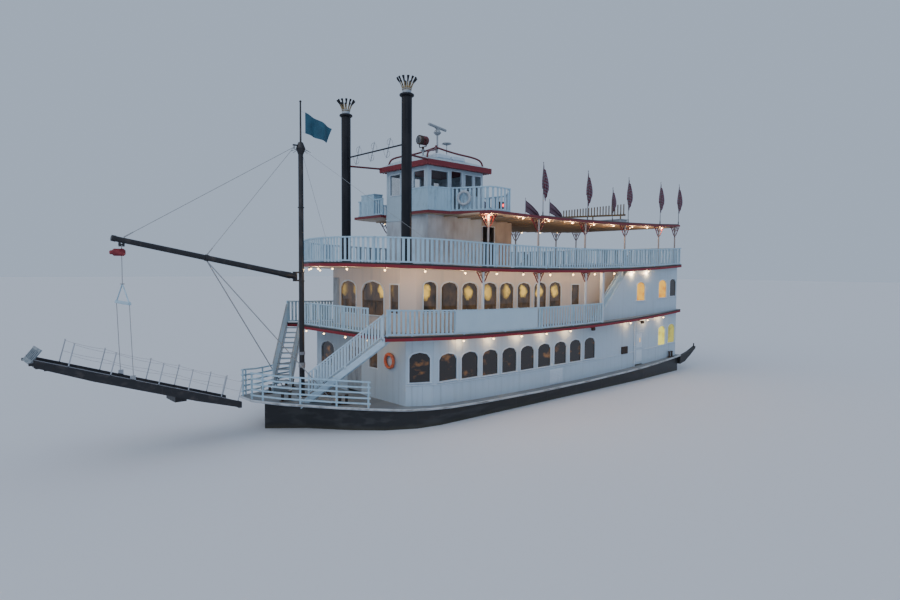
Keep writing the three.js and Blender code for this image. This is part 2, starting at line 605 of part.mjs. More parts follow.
// The side doorways stand open: their doors slide and have no joint.
const SIDE_DOORWAY = { x: 5030, width: 690, low: CANOPY.high + 95, high: 12560 };
const pilotSideCuts = [[3560, 420], [4190, 500], [6120, 1060]].map(([x, width]) => profile(
  oblong(x, width, PILOT_SILL, PILOT_HEAD), -4000, 4000));
pilotSideCuts.push(profile(
  oblong(SIDE_DOORWAY.x, SIDE_DOORWAY.width, SIDE_DOORWAY.low, SIDE_DOORWAY.high), -4000, 4000));
const pilotEndCuts = [-880, 30, 960].map((y) => cutAcross(
  [[CABIN.front, 0], [CABIN.front, 1000]], oblong(y, 800, PILOT_SILL, PILOT_HEAD)));
const pilotShell = cut(
  tube(cabinPlan).intersect(layer(CANOPY.high + TOUCH, EAVE_Z - TOUCH, sheer, level)),
  [...pilotSideCuts, ...pilotEndCuts]);
addPair('pilothouse', pilotShell.intersect(
  box(CABIN.aft + WALL + TOUCH, CABIN.front - WALL - TOUCH, 0, 3000, 9000, 14000)), WHITE);
add('pilothouse_front', pilotShell.intersect(
  box(CABIN.front - WALL, CABIN.front + 10, -3000, 3000, 9000, 14000)), WHITE);
add('pilothouse_aft', joined([
  cut(pilotShell.intersect(
    box(CABIN.aft - 10, CABIN.aft + WALL, -3000, 3000, 9000, 14000)), [pilotDoor.opening]),
  ...pilotDoor.wallParts]), WHITE);
add('pilothouse_door', pilotDoor.leaf, WHITE);

// Pilothouse roof: a low hipped deck with a deep fascia, pipe hoops that meet at the crown, and the radar mast.
const ROOF = { aft: 2850, front: 7100, half: 1900, fascia: 12920, crown: 13400 };
const CROWN = [4950, 0, 13980];
const roofSlope = frame([[-1900, ROOF.fascia - 40], [1900, ROOF.fascia - 40], [1900, ROOF.fascia],
  [500, ROOF.crown], [-500, ROOF.crown], [-1900, ROOF.fascia]], ROOF.aft, ROOF.front);
const roofEnds = profile([[ROOF.aft, ROOF.fascia - 50], [ROOF.front, ROOF.fascia - 50], [ROOF.front, ROOF.fascia],
  [ROOF.front - 1300, ROOF.crown], [ROOF.aft + 1300, ROOF.crown], [ROOF.aft, ROOF.fascia]], -2000, 2000);
const hoops = [1850, -1850].flatMap((reach) => [1, -1].flatMap((side) => {
  const bends = [
    [CROWN[0] + reach, side * 1500, ROOF.fascia - 20], [CROWN[0] + reach * 0.82, side * 1350, 13500],
    [CROWN[0] + reach * 0.31, side * 700, 13740], CROWN];
  return bends.slice(1).map((bend, i) => rod(bends[i], bend, 45, 6));
}));
const RADAR = { x: 4870, plate: 14700, hub: 14860, bar: 14930, top: 15050 };
const DISH = { x: 4500, y: 300, low: 14150, high: 14230 };
const SCANNER = { half: 850, thick: 60, turn: THREE.MathUtils.degToRad(18) };
const radarMast = [
  rod([RADAR.x, 0, ROOF.crown - 50], [RADAR.x, 0, RADAR.plate + 80], 45),
  rod([RADAR.x, 0, RADAR.plate], [RADAR.x, 0, RADAR.hub], 170, 10),
  rod([DISH.x, DISH.y, ROOF.crown - 100], [DISH.x, DISH.y, DISH.low], 25),
  rod([DISH.x, DISH.y, DISH.low], [DISH.x, DISH.y, DISH.high], 60, 10, 260),
];
const LIGHT = { x: 6100, y: 350, z: 14100, radius: 230, arm: 290 };
const lightFoot = [rod([LIGHT.x, LIGHT.y, ROOF.fascia + 120], [LIGHT.x, LIGHT.y, LIGHT.z - 480], 50),
  rod([LIGHT.x, LIGHT.y, LIGHT.z - 500], [LIGHT.x, LIGHT.y, LIGHT.z - 460], 130, 10)];
const roofDeck = box(ROOF.aft, ROOF.front, -ROOF.half, ROOF.half, EAVE_Z, ROOF.fascia);
add('pilothouse_roof', joined([
  roofDeck, roofSlope.intersect(roofEnds), ...hoops, ...radarMast, ...lightFoot]), RED, 0.55);

add('radar_scanner', joined([
  rod([RADAR.x, 0, RADAR.hub + TOUCH], [RADAR.x, 0, RADAR.bar + 30], 70, 10),
  placed(box(-SCANNER.half, SCANNER.half, -SCANNER.thick, SCANNER.thick, RADAR.bar, RADAR.top),
    [RADAR.x, 0, 0], SCANNER.turn),
]), WHITE, 0.4);
add('searchlight', joined([
  rod([LIGHT.x, LIGHT.y, LIGHT.z - 460 + TOUCH], [LIGHT.x, LIGHT.y, LIGHT.z - 300], 60, 10),
  box(LIGHT.x - 60, LIGHT.x + 60,
    LIGHT.y - LIGHT.arm - 20, LIGHT.y + LIGHT.arm + 20, LIGHT.z - 350, LIGHT.z - 290),
  ...[-1, 1].map((side) => box(LIGHT.x - 40, LIGHT.x + 40,
    LIGHT.y + side * LIGHT.arm - 20, LIGHT.y + side * LIGHT.arm + 20, LIGHT.z - 320, LIGHT.z + 40)),
  rod([LIGHT.x, LIGHT.y - LIGHT.arm - 10, LIGHT.z], [LIGHT.x, LIGHT.y + LIGHT.arm + 10, LIGHT.z], 30),
  rod([LIGHT.x - 290, LIGHT.y, LIGHT.z], [LIGHT.x + 260, LIGHT.y, LIGHT.z], LIGHT.radius, 16),
]), RED, 0.4, 0.3);

// Stacks: a tall pipe with a collar, a pale band and a crown of splayed petals.
function stack() {
  const at = (z) => [STACK.x, STACK.y, z];
  const foot = TOP_DECK.high + sheer(STACK.x) - 100;
  const pieces = [
    rod(at(foot), at(STACK.ring + 60), STACK.radius, 16),
    rod(at(STACK.ring - 40), at(STACK.ring + 60), 320, 16),
    rod(at(STACK.ring + 20), at(STACK.ring + 260), 190, 16),
  ];
  const petals = 12;
  const petal = [[150, 200], [185, 200], [225, 430], [425, 730], [395, 730], [190, 450]];
  for (let i = 0; i < petals; i += 1) {
    const turn = (2 * Math.PI * (i + 0.5)) / petals;
    const blade = extrusion(petal, 70).rotateX(Math.PI / 2).translate(0, 35, 0);
    pieces.push(solid(blade.rotateZ(turn).translate(STACK.x, STACK.y, STACK.ring)));
  }
  return joined(pieces).intersect(layer(TOP_DECK.high + TOUCH, 20000, sheer, level));
}
addPair('stack', stack(), BLACK, 0.45, 0.2);

const BRACE_Z = 13260;
const braceSpan = STACK.y - STACK.radius - TOUCH;
add('stack_brace', joined([
  rod([STACK.x, -braceSpan, BRACE_Z], [STACK.x, braceSpan, BRACE_Z], 40),
]), BLACK, 0.5, 0.3);

// Mast: a pole on the foredeck with lugs for the boom heel and a masthead cap.
const mastFoot = MAIN_DECK.high + mainSheer(MAST_X) - 200;
const HEEL = { low: BOOM_HEEL_Z - 140, high: BOOM_HEEL_Z + 140, radius: 95 };
const lugPlate = (low, high) => joined([
  rod([SWING_X, 0, low], [SWING_X, 0, high], HEEL.radius, 12),
  box(MAST_X, SWING_X, -60, 60, low, high)]);
const LIFT_Z = 12950;
const mast = joined([
  rod([MAST_X, 0, mastFoot], [MAST_X, 0, MAST_TOP], MAST_RADIUS, 16),
  rod([MAST_X, 0, 12800], [MAST_X, 0, MAST_TOP], 150, 16, 110),
  rod([MAST_X, 0, MAST_TOP - 100], [MAST_X, 0, 14900], 45),
  lugPlate(HEEL.low - 60 - TOUCH, HEEL.low - TOUCH),
  lugPlate(HEEL.high + TOUCH, HEEL.high + 60 + TOUCH),
  box(MAST_X, SWING_X + 50, -50, 50, LIFT_Z, LIFT_Z + 50),
]).intersect(layer(MAIN_DECK.high + TOUCH, 20000, mainSheer, level));
add('mast', mast, BLACK, 0.5);

const heelPoint = [SWING_X, 0, BOOM_HEEL_Z];
const tipPoint = [BOOM_TIP[0], 0, BOOM_TIP[1]];
const BOOM_SLOPE = (BOOM_TIP[1] - BOOM_HEEL_Z) / (BOOM_TIP[0] - SWING_X);
const boomPoint = (x) => [x, 0, BOOM_HEEL_Z + BOOM_SLOPE * (x - SWING_X)];
const sheave = boomPoint(HOOK_X);
add('boom', joined([
  rod([SWING_X, 0, HEEL.low], [SWING_X, 0, HEEL.high], HEEL.radius, 12),
  rod(heelPoint, tipPoint, BOOM_RADIUS, 12, BOOM_TIP_RADIUS),
  box(HOOK_X - 90, HOOK_X + 90, -60, 60, sheave[2] - 230, sheave[2]),
]), BLACK, 0.5);

const liftHead = [SWING_X, 0, LIFT_Z - 60];
const LIFT_ENDS = [boomPoint(19300), boomPoint(16460)];
add('topping_lifts', cut(joined([
  rod([SWING_X, 0, LIFT_Z - 120], [SWING_X, 0, LIFT_Z - TOUCH], 40),
  ...LIFT_ENDS.map((end) => rod(liftHead, end, 14, 6)),
]), [rod(heelPoint, tipPoint, BOOM_RADIUS + TOUCH, 12, BOOM_TIP_RADIUS + TOUCH)]), STEEL, 0.5, 0.6);

// Hoist: the fall from the boom to the hook block, then the spreader and the bridle down to the stage.
const BLOCK = { low: 8220, high: 8470, aft: 120, front: 380 };
const FALL_TOP = sheave[2] - 230 - TOUCH;
add('hoist_fall', rod([HOOK_X, 0, BLOCK.high + TOUCH], [HOOK_X, 0, FALL_TOP], 20, 6), STEEL, 0.5, 0.6);
const EYE = { inner: STAGE_HALF + TOUCH, outer: STAGE_HALF + 60, radius: 60 };
const spreaderEnds = [-1, 1].map((side) => [HOOK_X, side * 830, 6600]);
const apex = [HOOK_X, 0, 7250];
add('spreader_bridle', joined([
  box(HOOK_X - BLOCK.aft, HOOK_X + BLOCK.front, -90, 90, BLOCK.low, BLOCK.high),
  rod([HOOK_X, 0, BLOCK.low + 10], [HOOK_X, 0, 7220], 16, 6),
  rod([HOOK_X, -70, 7250], [HOOK_X, 70, 7250], 50),
  rod(spreaderEnds[0], spreaderEnds[1], 40),
  ...spreaderEnds.map((end) => rod(apex, end, 16, 6)),
  ...[0, 1].map((i) => rod(spreaderEnds[i], [BRIDLE.x, (i ? 1 : -1) * 830, BRIDLE.z], 16, 6)),
  ...[-1, 1].map((side) => rod(
    [BRIDLE.x, side * EYE.inner, BRIDLE.z], [BRIDLE.x, side * EYE.outer, BRIDLE.z], EYE.radius, 10)),
]), RED, 0.5, 0.3);

// Landing stage: two deep girders with a deck between them and pairs of stanchions.
const stageSlope = (STAGE_OUTER[1] - STAGE_INNER[1]) / (STAGE_OUTER[0] - STAGE_INNER[0]);
const stageTop = (x) => STAGE_INNER[1] + stageSlope * (x - STAGE_INNER[0]);
const stageBand = (x0, x1, low, high) => [
  [x0, stageTop(x0) + low], [x1, stageTop(x1) + low], [x1, stageTop(x1) + high], [x0, stageTop(x0) + high]];
const GIRDER = { end: 200, middle: 280 };
const girder = [
  [STAGE_INNER[0], stageTop(STAGE_INNER[0]) - GIRDER.end], [17200, stageTop(17200) - GIRDER.middle],
  [20500, stageTop(20500) - GIRDER.middle], [STAGE_OUTER[0], stageTop(STAGE_OUTER[0]) - GIRDER.end],
  [STAGE_OUTER[0], stageTop(STAGE_OUTER[0]) + 40], [STAGE_INNER[0], stageTop(STAGE_INNER[0]) + 40]];
const APRON = { x: STAGE_OUTER[0] + 80, z: stageTop(STAGE_OUTER[0]) - 95, length: 520, half: 690 };
const STANCHION_XS = [15650, 16300, 17500, 18500, 20000, 21200];
const crossBeams = [15560, 17200, 18800, 20500, 22000].map((x) => box(
  x - 50, x + 50, -STAGE_HALF + 10, STAGE_HALF - 10, stageTop(x) - 220, stageTop(x) - 90));
add('landing_stage', joined([
  ...[-1, 1].map((side) => profile(girder, side * 770 - 30, side * 770 + 30)),
  profile(stageBand(STAGE_INNER[0], STAGE_OUTER[0], -130, -60), -760, 760),
  ...crossBeams,
  ...STANCHION_XS.flatMap((x) => [-1, 1].map((side) => rod(
    [x, side * 745, stageTop(x) - 60], [x - 210, side * 745, stageTop(x) + 760], 20, 6))),
  ...[-1, 1].flatMap((side) => [
    box(BRIDLE.x - 80, BRIDLE.x + 80, side * 770 - 30, side * 770 + 30, stageTop(BRIDLE.x) - 50, BRIDLE.z + 70),
    box(STAGE_OUTER[0] - 60, APRON.x + 45, side * 745 - 45, side * 745 + 45, APRON.z - 45, APRON.z + 45),
  ]),
  box(17450, 17850, -500, 500, stageTop(17650) - 440, stageTop(17650) - 100),
]), BLACK, 0.55);

// Apron: a slatted end flap, hinged across the tip of the stage and folded up and back over it.
const apronTurn = THREE.MathUtils.degToRad(127);
const slats = [];
for (let i = 0; i < 6; i += 1) {
  const y = (APRON.half - 50) * ((2 * i) / 5 - 1);
  slats.push(box(0, APRON.length, y - 50, y + 50, -20, 20));
}
const apronFlat = joined([
  ...slats, box(30, 110, -APRON.half, APRON.half, -25, 25),
  box(APRON.length - 80, APRON.length, -APRON.half, APRON.half, -25, 25),
]);
add('stage_apron', joined([
  placed(apronFlat, [APRON.x, 0, APRON.z], 0, apronTurn),
  rod([APRON.x, -700 + TOUCH, APRON.z], [APRON.x, 700 - TOUCH, APRON.z], 36, 8),
]), GREY, 0.6, 0.2);

// Stern frame: the transom beam, the two bearers of the wheel shaft and the upswept outer timbers.
const bearer = [
  [TRANSOM_X - TOUCH, 1500], [-13300, 1560], [-14000, 1850], [-14900, 2080], [-15150, 2300],
  [-14800, 2520], [-14200, 2520], [-13700, 2200], [TRANSOM_X - TOUCH, 1900]].reverse();
const timber = [
  [TRANSOM_X - TOUCH, 1700], [-13400, 1800], [-14200, 2180], [-14900, 2560], [-14900, 2700],
  [-14000, 2420], [TRANSOM_X - TOUCH, 2180]].reverse();
const frameSides = [-1, 1].flatMap((side) => [
  profile(bearer, side > 0 ? WHEEL_BEAM_Y : -WHEEL_BEAM_Y - 250, side > 0 ? WHEEL_BEAM_Y + 250 : -WHEEL_BEAM_Y),
  profile(timber, side * 4250 - 100, side * 4250 + 100),
  box(-14850, -14790, side * 4250 - 30, side * 4250 + 30, 2600, 2900),
]);
add('stern_frame', joined([
  box(TRANSOM_X - 150, TRANSOM_X - TOUCH, -4350, 4350, 1700, 1850), ...frameSides]), BLACK, 0.55);

// Stern wheel: two spoked flanges on one shaft, with plank floats across their arms.
const ARMS = 10;
const ARM_HALF = 45;
const RIM = { inner: 1090, outer: 1190 };
const armTurn = (2 * Math.PI) / ARMS;
const polar = (radius, turn) => [radius * Math.cos(turn), radius * Math.sin(turn)];
const armSide = (radius, side) => Math.asin(ARM_HALF / radius) * side;
function flange(y) {
  const outline = [];
  const gaps = [];
  for (let i = 0; i < ARMS; i += 1) {
    const turn = i * armTurn;
    outline.push(
      polar(RIM.outer, turn + armSide(RIM.outer, -1)), polar(WHEEL.radius - 60, turn + armSide(WHEEL.radius, -1)),
      polar(WHEEL.radius - 60, turn + armSide(WHEEL.radius, 1)), polar(RIM.outer, turn + armSide(RIM.outer, 1)));
    const next = turn + armTurn;
    gaps.push([
      polar(RIM.inner, turn + armSide(RIM.inner, 1)), polar(RIM.inner, next + armSide(RIM.inner, -1)),
      polar(250, next + armSide(250, -1)), polar(250, turn + armSide(250, 1))]);
  }
  const disc = shapeOf(outline);
  disc.holes = gaps.map((gap) => new THREE.Path(gap.map(([x, z]) => new THREE.Vector2(x, z))));
  const plate = new THREE.ExtrudeGeometry(disc, { depth: 70, bevelEnabled: false });
  return solid(plate.rotateX(Math.PI / 2).translate(WHEEL.x, y + 35, WHEEL.z));
}
const shaftEnd = WHEEL_BEAM_Y - TOUCH;
const wheelParts = [
  rod([WHEEL.x, -shaftEnd, WHEEL.z], [WHEEL.x, shaftEnd, WHEEL.z], 110, 10), flange(-2000), flange(2000)];
for (let i = 0; i < ARMS; i += 1) {
  const float = new THREE.BoxGeometry(330, 2 * WHEEL.half, 50).translate(WHEEL.radius - 165, 0, ARM_HALF + 20);
  wheelParts.push(solid(float.rotateY(i * armTurn).translate(WHEEL.x, 0, WHEEL.z)));
}
add('paddle_wheel', joined(wheelParts), RED, 0.6);

// Rudders: balanced blades under the raked stern, each hung on its stock.
const rudder = joined([
  box(RUDDER.x - 850, RUDDER.x + 450, RUDDER.y - 35, RUDDER.y + 35, RUDDER.low, RUDDER.top),
  rod([RUDDER.x, RUDDER.y, RUDDER.top - 60], [RUDDER.x, RUDDER.y, RUDDER.boss - TOUCH], 70, 12),
]);
addPair('rudder', rudder, BLACK, 0.5);

// Flags: staffs on the canopy edge, joined by a foot rail. Those to port hang limp down their staffs, and those
// to starboard droop aft.
const STAFF_TOP = 13100;
const STARBOARD_STAFF_TOP = 12650;
const STAFF_IN = 110;
const PORT_STAFFS = [
  [1580, STAFF_TOP], [-2200, STAFF_TOP], [-4600, 12390], [-6250, STAFF_TOP], [-10300, STAFF_TOP],
  [-12950, STAFF_TOP],
];
const STARBOARD_STAFFS = [-2200, -6900, -9400];
const staffLine = (x) => canopyHalf(x) - STAFF_IN;
const staff = (x, top) => rod(
  [x, staffLine(x), CANOPY.high + sheer(x) + 10], [x, staffLine(x), top + sheer(x)], 18, 6);
function footRail(xs) {
  const side = (out) => xs.map((x) => [x, staffLine(x) + out]);
  return slab([...side(-25), ...side(25).reverse()], CANOPY.high + TOUCH, CANOPY.high + 50);
}
const LIMP = { width: 300, half: 45, drop: 90, fall: 1750, shortFall: 1350 };
add('flag_row_port', joined([
  footRail([-12960, -6500, 1700]),
  ...PORT_STAFFS.map(([x, top]) => staff(x, top)),
  ...PORT_STAFFS.map(([x, top]) => {
    const high = top + sheer(x) - LIMP.drop;
    const low = high - (top === STAFF_TOP ? LIMP.fall : LIMP.shortFall);
    return box(x - LIMP.width, x, staffLine(x) - LIMP.half, staffLine(x) + LIMP.half, low, high);
  }),
]), RED, 0.8);
const drooping = [[0, -130], [0, -940], [-1600, -1350], [-1650, -1250], [-1350, -850], [-700, -450]];
add('flag_row_starboard', mirrored(joined([
  footRail([-12960, -6500, 1700]),
  ...STARBOARD_STAFFS.map((x) => staff(x, STARBOARD_STAFF_TOP)),
  ...STARBOARD_STAFFS.map((x) => profile(
    drooping.map(([aft, down]) => [x + aft, STARBOARD_STAFF_TOP + sheer(x) + down]),
    staffLine(x) - 60, staffLine(x) + 60)),
])), RED, 0.8);

// Jack flag: its hoist against the pole of the mast, its fly drooping aft.
const hoistX = MAST_X - 45 - TOUCH;
const jack = [[11500, 13150], [11330, 13900], [hoistX, 14330], [hoistX, 13450]];
add('jack_flag', profile(jack, -20, 20), TEAL, 0.8);

// Steam whistle organ: a manifold on legs with a row of whistles, standing athwart and slanted a little.
const ORGAN = { x: -6800, y: 1400, turn: THREE.MathUtils.degToRad(108), half: 2000, whistles: 22 };
const ORGAN_PITCH = 180;
const organ = [];
for (let i = 0; i < ORGAN.whistles; i += 1) {
  const x = ORGAN_PITCH * (i - (ORGAN.whistles - 1) / 2);
  organ.push(rod([x, 0, 600], [x, 0, 1020 + 11 * i], 36, 6));
}
organ.push(box(-ORGAN.half, ORGAN.half, -50, 50, 540, 640));
for (const x of [-1700, 0, 1700]) {
  organ.push(box(x - 40, x + 40, -250, 250, -60, 60), box(x - 35, x + 35, -35, 35, -60, 560));
}
add('whistle_organ', placed(joined(organ), [ORGAN.x, ORGAN.y, CANOPY.high + sheer(ORGAN.x)], ORGAN.turn)
  .intersect(layer(CANOPY.high + TOUCH, 16000, sheer, level)), GOLD, 0.4, 0.6);

export default group;
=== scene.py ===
"""Stern-wheel paddle steamer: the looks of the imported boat. Metres, +X forward, +Y to port, +Z up."""
import math

import bpy
from mathutils import Matrix, Vector


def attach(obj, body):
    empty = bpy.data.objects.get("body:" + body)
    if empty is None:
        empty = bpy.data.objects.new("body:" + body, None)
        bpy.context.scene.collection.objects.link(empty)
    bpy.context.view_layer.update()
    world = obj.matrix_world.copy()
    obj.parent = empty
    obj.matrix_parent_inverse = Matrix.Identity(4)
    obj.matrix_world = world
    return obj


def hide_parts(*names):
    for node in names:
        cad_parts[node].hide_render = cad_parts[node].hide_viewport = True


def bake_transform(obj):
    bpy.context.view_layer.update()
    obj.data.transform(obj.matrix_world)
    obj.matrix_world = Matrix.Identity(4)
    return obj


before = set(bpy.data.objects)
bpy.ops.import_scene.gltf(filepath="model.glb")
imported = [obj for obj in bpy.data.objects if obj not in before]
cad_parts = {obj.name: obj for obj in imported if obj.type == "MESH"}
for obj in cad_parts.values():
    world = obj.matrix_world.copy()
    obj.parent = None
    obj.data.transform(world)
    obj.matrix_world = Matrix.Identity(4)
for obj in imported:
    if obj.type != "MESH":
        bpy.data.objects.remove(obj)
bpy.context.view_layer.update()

# Camera, floor and light. The boat is seen off its port bow from a little below the top deck.
# It floats, so the pale floor lies at its waterline, and the light is a broad soft one.
WATERLINE = 1.25
EYE = Vector((25.0, 23.029, 7.824))
YAW, PITCH, ROLL = (math.radians(turn) for turn in (47.544, 2.918, 0.370))
ahead = Vector((-math.cos(YAW) * math.cos(PITCH), -math.sin(YAW) * math.cos(PITCH), -math.sin(PITCH)))
level_right = ahead.cross(Vector((0, 0, 1))).normalized()
level_up = level_right.cross(ahead)
right = level_right * math.cos(ROLL) + level_up * math.sin(ROLL)
up = level_up * math.cos(ROLL) - level_right * math.sin(ROLL)
bpy.ops.object.camera_add()
camera = bpy.context.object
camera.matrix_world = Matrix.Translation(EYE) @ Matrix((right, up, -ahead)).transposed().to_4x4()
camera.data.sensor_width = 36
camera.data.lens = 23.91
camera.data.clip_end = 2000
bpy.context.scene.camera = camera

FLOOR_SPAN = 900
bpy.ops.mesh.primitive_plane_add(size=FLOOR_SPAN, location=(0, 0, WATERLINE))
floor = bpy.context.object
floor.name = "floor"
floor_finish = bpy.data.materials.new("pale_floor")
floor_finish.use_nodes = True
floor_shader = floor_finish.node_tree.nodes["Principled BSDF"]
floor_shader.inputs["Base Color"].default_value = (0.70, 0.72, 0.76, 1)
floor_shader.inputs["Roughness"].default_value = 0.85
floor.data.materials.append(floor_finish)

world = bpy.data.worlds.new("soft_sky")
bpy.context.scene.world = world
world.use_nodes = True
sky = world.node_tree.nodes["Background"]
sky.inputs["Color"].default_value = (0.62, 0.75, 0.95, 1)
sky.inputs["Strength"].default_value = 0.66
WARM_LIGHT = (0.85, 0.25, 1.1), (1.0, 0.93, 0.88), 0.7
COOL_LIGHT = (0.9, -0.2, 2.6), (0.8, 0.88, 1.0), 0.5
for turn, colour, power in (WARM_LIGHT, COOL_LIGHT):
    bpy.ops.object.light_add(type="SUN", rotation=turn)
    bpy.context.object.data.angle = math.radians(60)
    bpy.context.object.data.energy = power
    bpy.context.object.data.color = colour


# Hull. A welded steel hull with a flat bottom and raked ends, painted black over a dark boot line,
# with scuffs where it lies against quays and a film of weed and dried mud at the water.
class Signal:
    """A socket in a finish's nodes. Sums and products of signals add the Math nodes they need."""

    def __init__(self, tree, socket):
        self.tree = tree
        self.socket = socket

    def node(self, kind, settings=None, values=None, out=0):
        """Adds a node: its settings first, then the values or links of its sockets."""
        made = self.tree.nodes.new(kind)
        for name, value in (settings or {}).items():
            if name == "stops":
                for i, (position, colour) in enumerate(value):
                    stops = made.color_ramp.elements
                    stop = stops[i] if i < 2 else stops.new(position)
                    stop.position = position
                    stop.color = colour
            else:
                setattr(made, name, value)
        for key, value in (values or {}).items():
            if isinstance(value, Signal):
                self.tree.links.new(value.socket, made.inputs[key])
            else:
                made.inputs[key].default_value = value
        return Signal(self.tree, made.outputs[out])

    def maths(self, operation, first, second=0.0):
        return self.node("ShaderNodeMath", {"operation": operation}, {0: first, 1: second})

    def __add__(self, other):
        return self.maths("ADD", self, other)

    def __radd__(self, other):
        return self.maths("ADD", other, self)

    def __sub__(self, other):
        return self.maths("SUBTRACT", self, other)

    def __rsub__(self, other):
        return self.maths("SUBTRACT", other, self)

    def __mul__(self, other):
        return self.maths("MULTIPLY", self, other)

    def __rmul__(self, other):
        return self.maths("MULTIPLY", other, self)

    def __gt__(self, other):
        return self.maths("GREATER_THAN", self, other)

    def __lt__(self, other):
        return self.maths("LESS_THAN", self, other)

    def __mod__(self, other):
        return self.maths("FLOORED_MODULO", self, other)

    def __abs__(self):
        return self.maths("ABSOLUTE", self)

    def axis(self, index):
        return self.node("ShaderNodeSeparateXYZ", {}, {0: self}, out=index)

    def ramp(self, low, high):
        """0 below low, 1 above high."""
        return self.node("ShaderNodeMapRange", {}, {"Value": self, "From Min": low, "From Max": high})

    def noise(self, scale, stretch=(1, 1, 1), detail=4):
        """Cloudy noise, about 0.5, drawn out along the axes with the small stretch."""
        drawn = self.node("ShaderNodeMapping", {}, {"Vector": self, "Scale": stretch})
        return self.node("ShaderNodeTexNoise", {}, {"Vector": drawn, "Scale": scale, "Detail": detail})

    def between(self, bare, full):
        """A colour from bare to full as this mask goes from 0 to 1."""
        return self.node("ShaderNodeMix", {"data_type": "RGBA"}, {0: self, 6: bare, 7: full}, out=2)

    def bump(self, distance, strength=1.0):
        """A surface normal from this height."""
        return self.node("ShaderNodeBump", {}, {"Height": self, "Distance": distance, "Strength": strength})


def new_finish(name, **sockets):
    """A new material, and the place on the piece as a signal for its maker to work with."""
    material = bpy.data.materials.new(name)
    material.use_nodes = True
    coat(material, **sockets)
    tree = material.node_tree
    return material, Signal(tree, tree.nodes.new("ShaderNodeTexCoord").outputs["Object"])


def coat(material, **sockets):
    """Sets or links sockets of the finish's shader, named with underlines for spaces."""
    shader = material.node_tree.nodes["Principled BSDF"]
    for name, value in sockets.items():
        socket = shader.inputs[name.replace("_", " ")]
        if isinstance(value, Signal):
            value.tree.links.new(value.socket, socket)
        else:
            socket.default_value = value


def facing(place, index):
    """How far the surface faces along one axis, from -1 to 1."""
    return place.node("ShaderNodeNewGeometry", out=1).axis(index)


def repaint(finish, *nodes):
    for node in nodes:
        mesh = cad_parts[node].data
        mesh.materials.clear()
        mesh.materials.append(finish)


HULL_BLACK = (0.013, 0.014, 0.017, 1)
HULL_GREY = (0.055, 0.055, 0.058, 1)
WEED = (0.045, 0.042, 0.028, 1)
WEED_TOP, WEED_FULL = 0.26, 0.05
PLATE_LENGTH = 2.4
hull_finish, place = new_finish("hull_black")
scuffs = place.noise(1.6, (0.35, 1, 2.2), 6).ramp(0.5, 0.72)
height = place.axis(2)
wet = (height + place.noise(3.0, (1, 1, 0.6)) * 0.12).ramp(WATERLINE + WEED_TOP, WATERLINE + WEED_FULL)
plates = abs((place.axis(0) % PLATE_LENGTH) - PLATE_LENGTH / 2).ramp(0.012, 0.0)
coat(
    hull_finish,
    Base_Color=wet.between(scuffs.between(HULL_BLACK, HULL_GREY), WEED),
    Roughness=scuffs * 0.25 + 0.38,
    Normal=(plates * 0.4 + place.noise(1.1, (0.6, 1, 1)) * 0.8).bump(0.012),
)
repaint(hull_finish, "hull", "rudder_port", "rudder_starboard")

# Main deck. Steel deck plate in grey non-slip paint over a white edge, which carries a rubbing strake
# of half-round bar and old rubber fenders, and scuppers that stain the edge below them.
STATION_STEP = 4.0
STATION_END = 18.0
STATIONS = [-STATION_END + STATION_STEP * i for i in range(10)]
SHEER_MIDDLE, SHEER_RATE = 0.84, 0.002
BOW_START, BOW_RATE = 8, 0.006


def along_stations(curve):
    """A curve along the boat, followed by straight lines from one station to the next."""
    def value(x):
        i = min(max(int((x + STATION_END) // STATION_STEP), 0), len(STATIONS) - 2)
        share = (x - STATIONS[i]) / STATION_STEP
        return curve(STATIONS[i]) * (1 - share) + curve(STATIONS[i + 1]) * share
    return value


def sheer_curve(x):
    return SHEER_RATE * (x - SHEER_MIDDLE) ** 2


def bow_curve(x):
    return sheer_curve(x) + (BOW_RATE * (x - BOW_START) ** 2 if x > BOW_START else 0)


sheer = along_stations(sheer_curve)
main_sheer = along_stations(bow_curve)
MAIN_DECK, SECOND_DECK, TOP_DECK, CANOPY = 1.93, 4.95, 7.89, 10.48


def on_sheer(x, y, level):
    """A point at a height that follows the sheer of the decks."""
    return x, y, level + sheer(x)


def unsheered(place):
    """The height of a point on a piece, less the sheer at it."""
    station = place.axis(0) - SHEER_MIDDLE
    return place.axis(2) - station * station * SHEER_RATE


def alone(piece):
    bpy.ops.object.select_all(action="DESELECT")
    piece.select_set(True)
    bpy.context.view_layer.objects.active = piece


def pick(piece, kind, test):
    """Goes into edit mode with the vertices, or the faces, whose place passes a test."""
    alone(piece)
    bpy.ops.object.mode_set(mode="EDIT")
    bpy.ops.mesh.select_mode(type=kind)
    bpy.ops.mesh.select_all(action="DESELECT")
    bpy.ops.object.mode_set(mode="OBJECT")
    for item in piece.data.vertices if kind == "VERT" else piece.data.polygons:
        item.select = test(item.co if kind == "VERT" else item.center)
    bpy.ops.object.mode_set(mode="EDIT")


def done():
    bpy.ops.object.mode_set(mode="OBJECT")


def still(piece):
    """Applies the piece's place, so that it is in its mesh."""
    alone(piece)
    bpy.ops.object.transform_apply(location=True, rotation=True, scale=True)
    return piece


def block(low, high, edge=0.0):
    """A squared bar or plate between two corners, with its edges taken off."""
    centre = [(a + b) / 2 for a, b in zip(low, high)]
    bpy.ops.mesh.primitive_cube_add(size=1, location=centre, scale=[b - a for a, b in zip(low, high)])
    piece = still(bpy.context.object)
    if edge:
        pick(piece, "VERT", lambda at: True)
        bpy.ops.mesh.bevel(offset=edge, segments=1)
        done()
    return piece


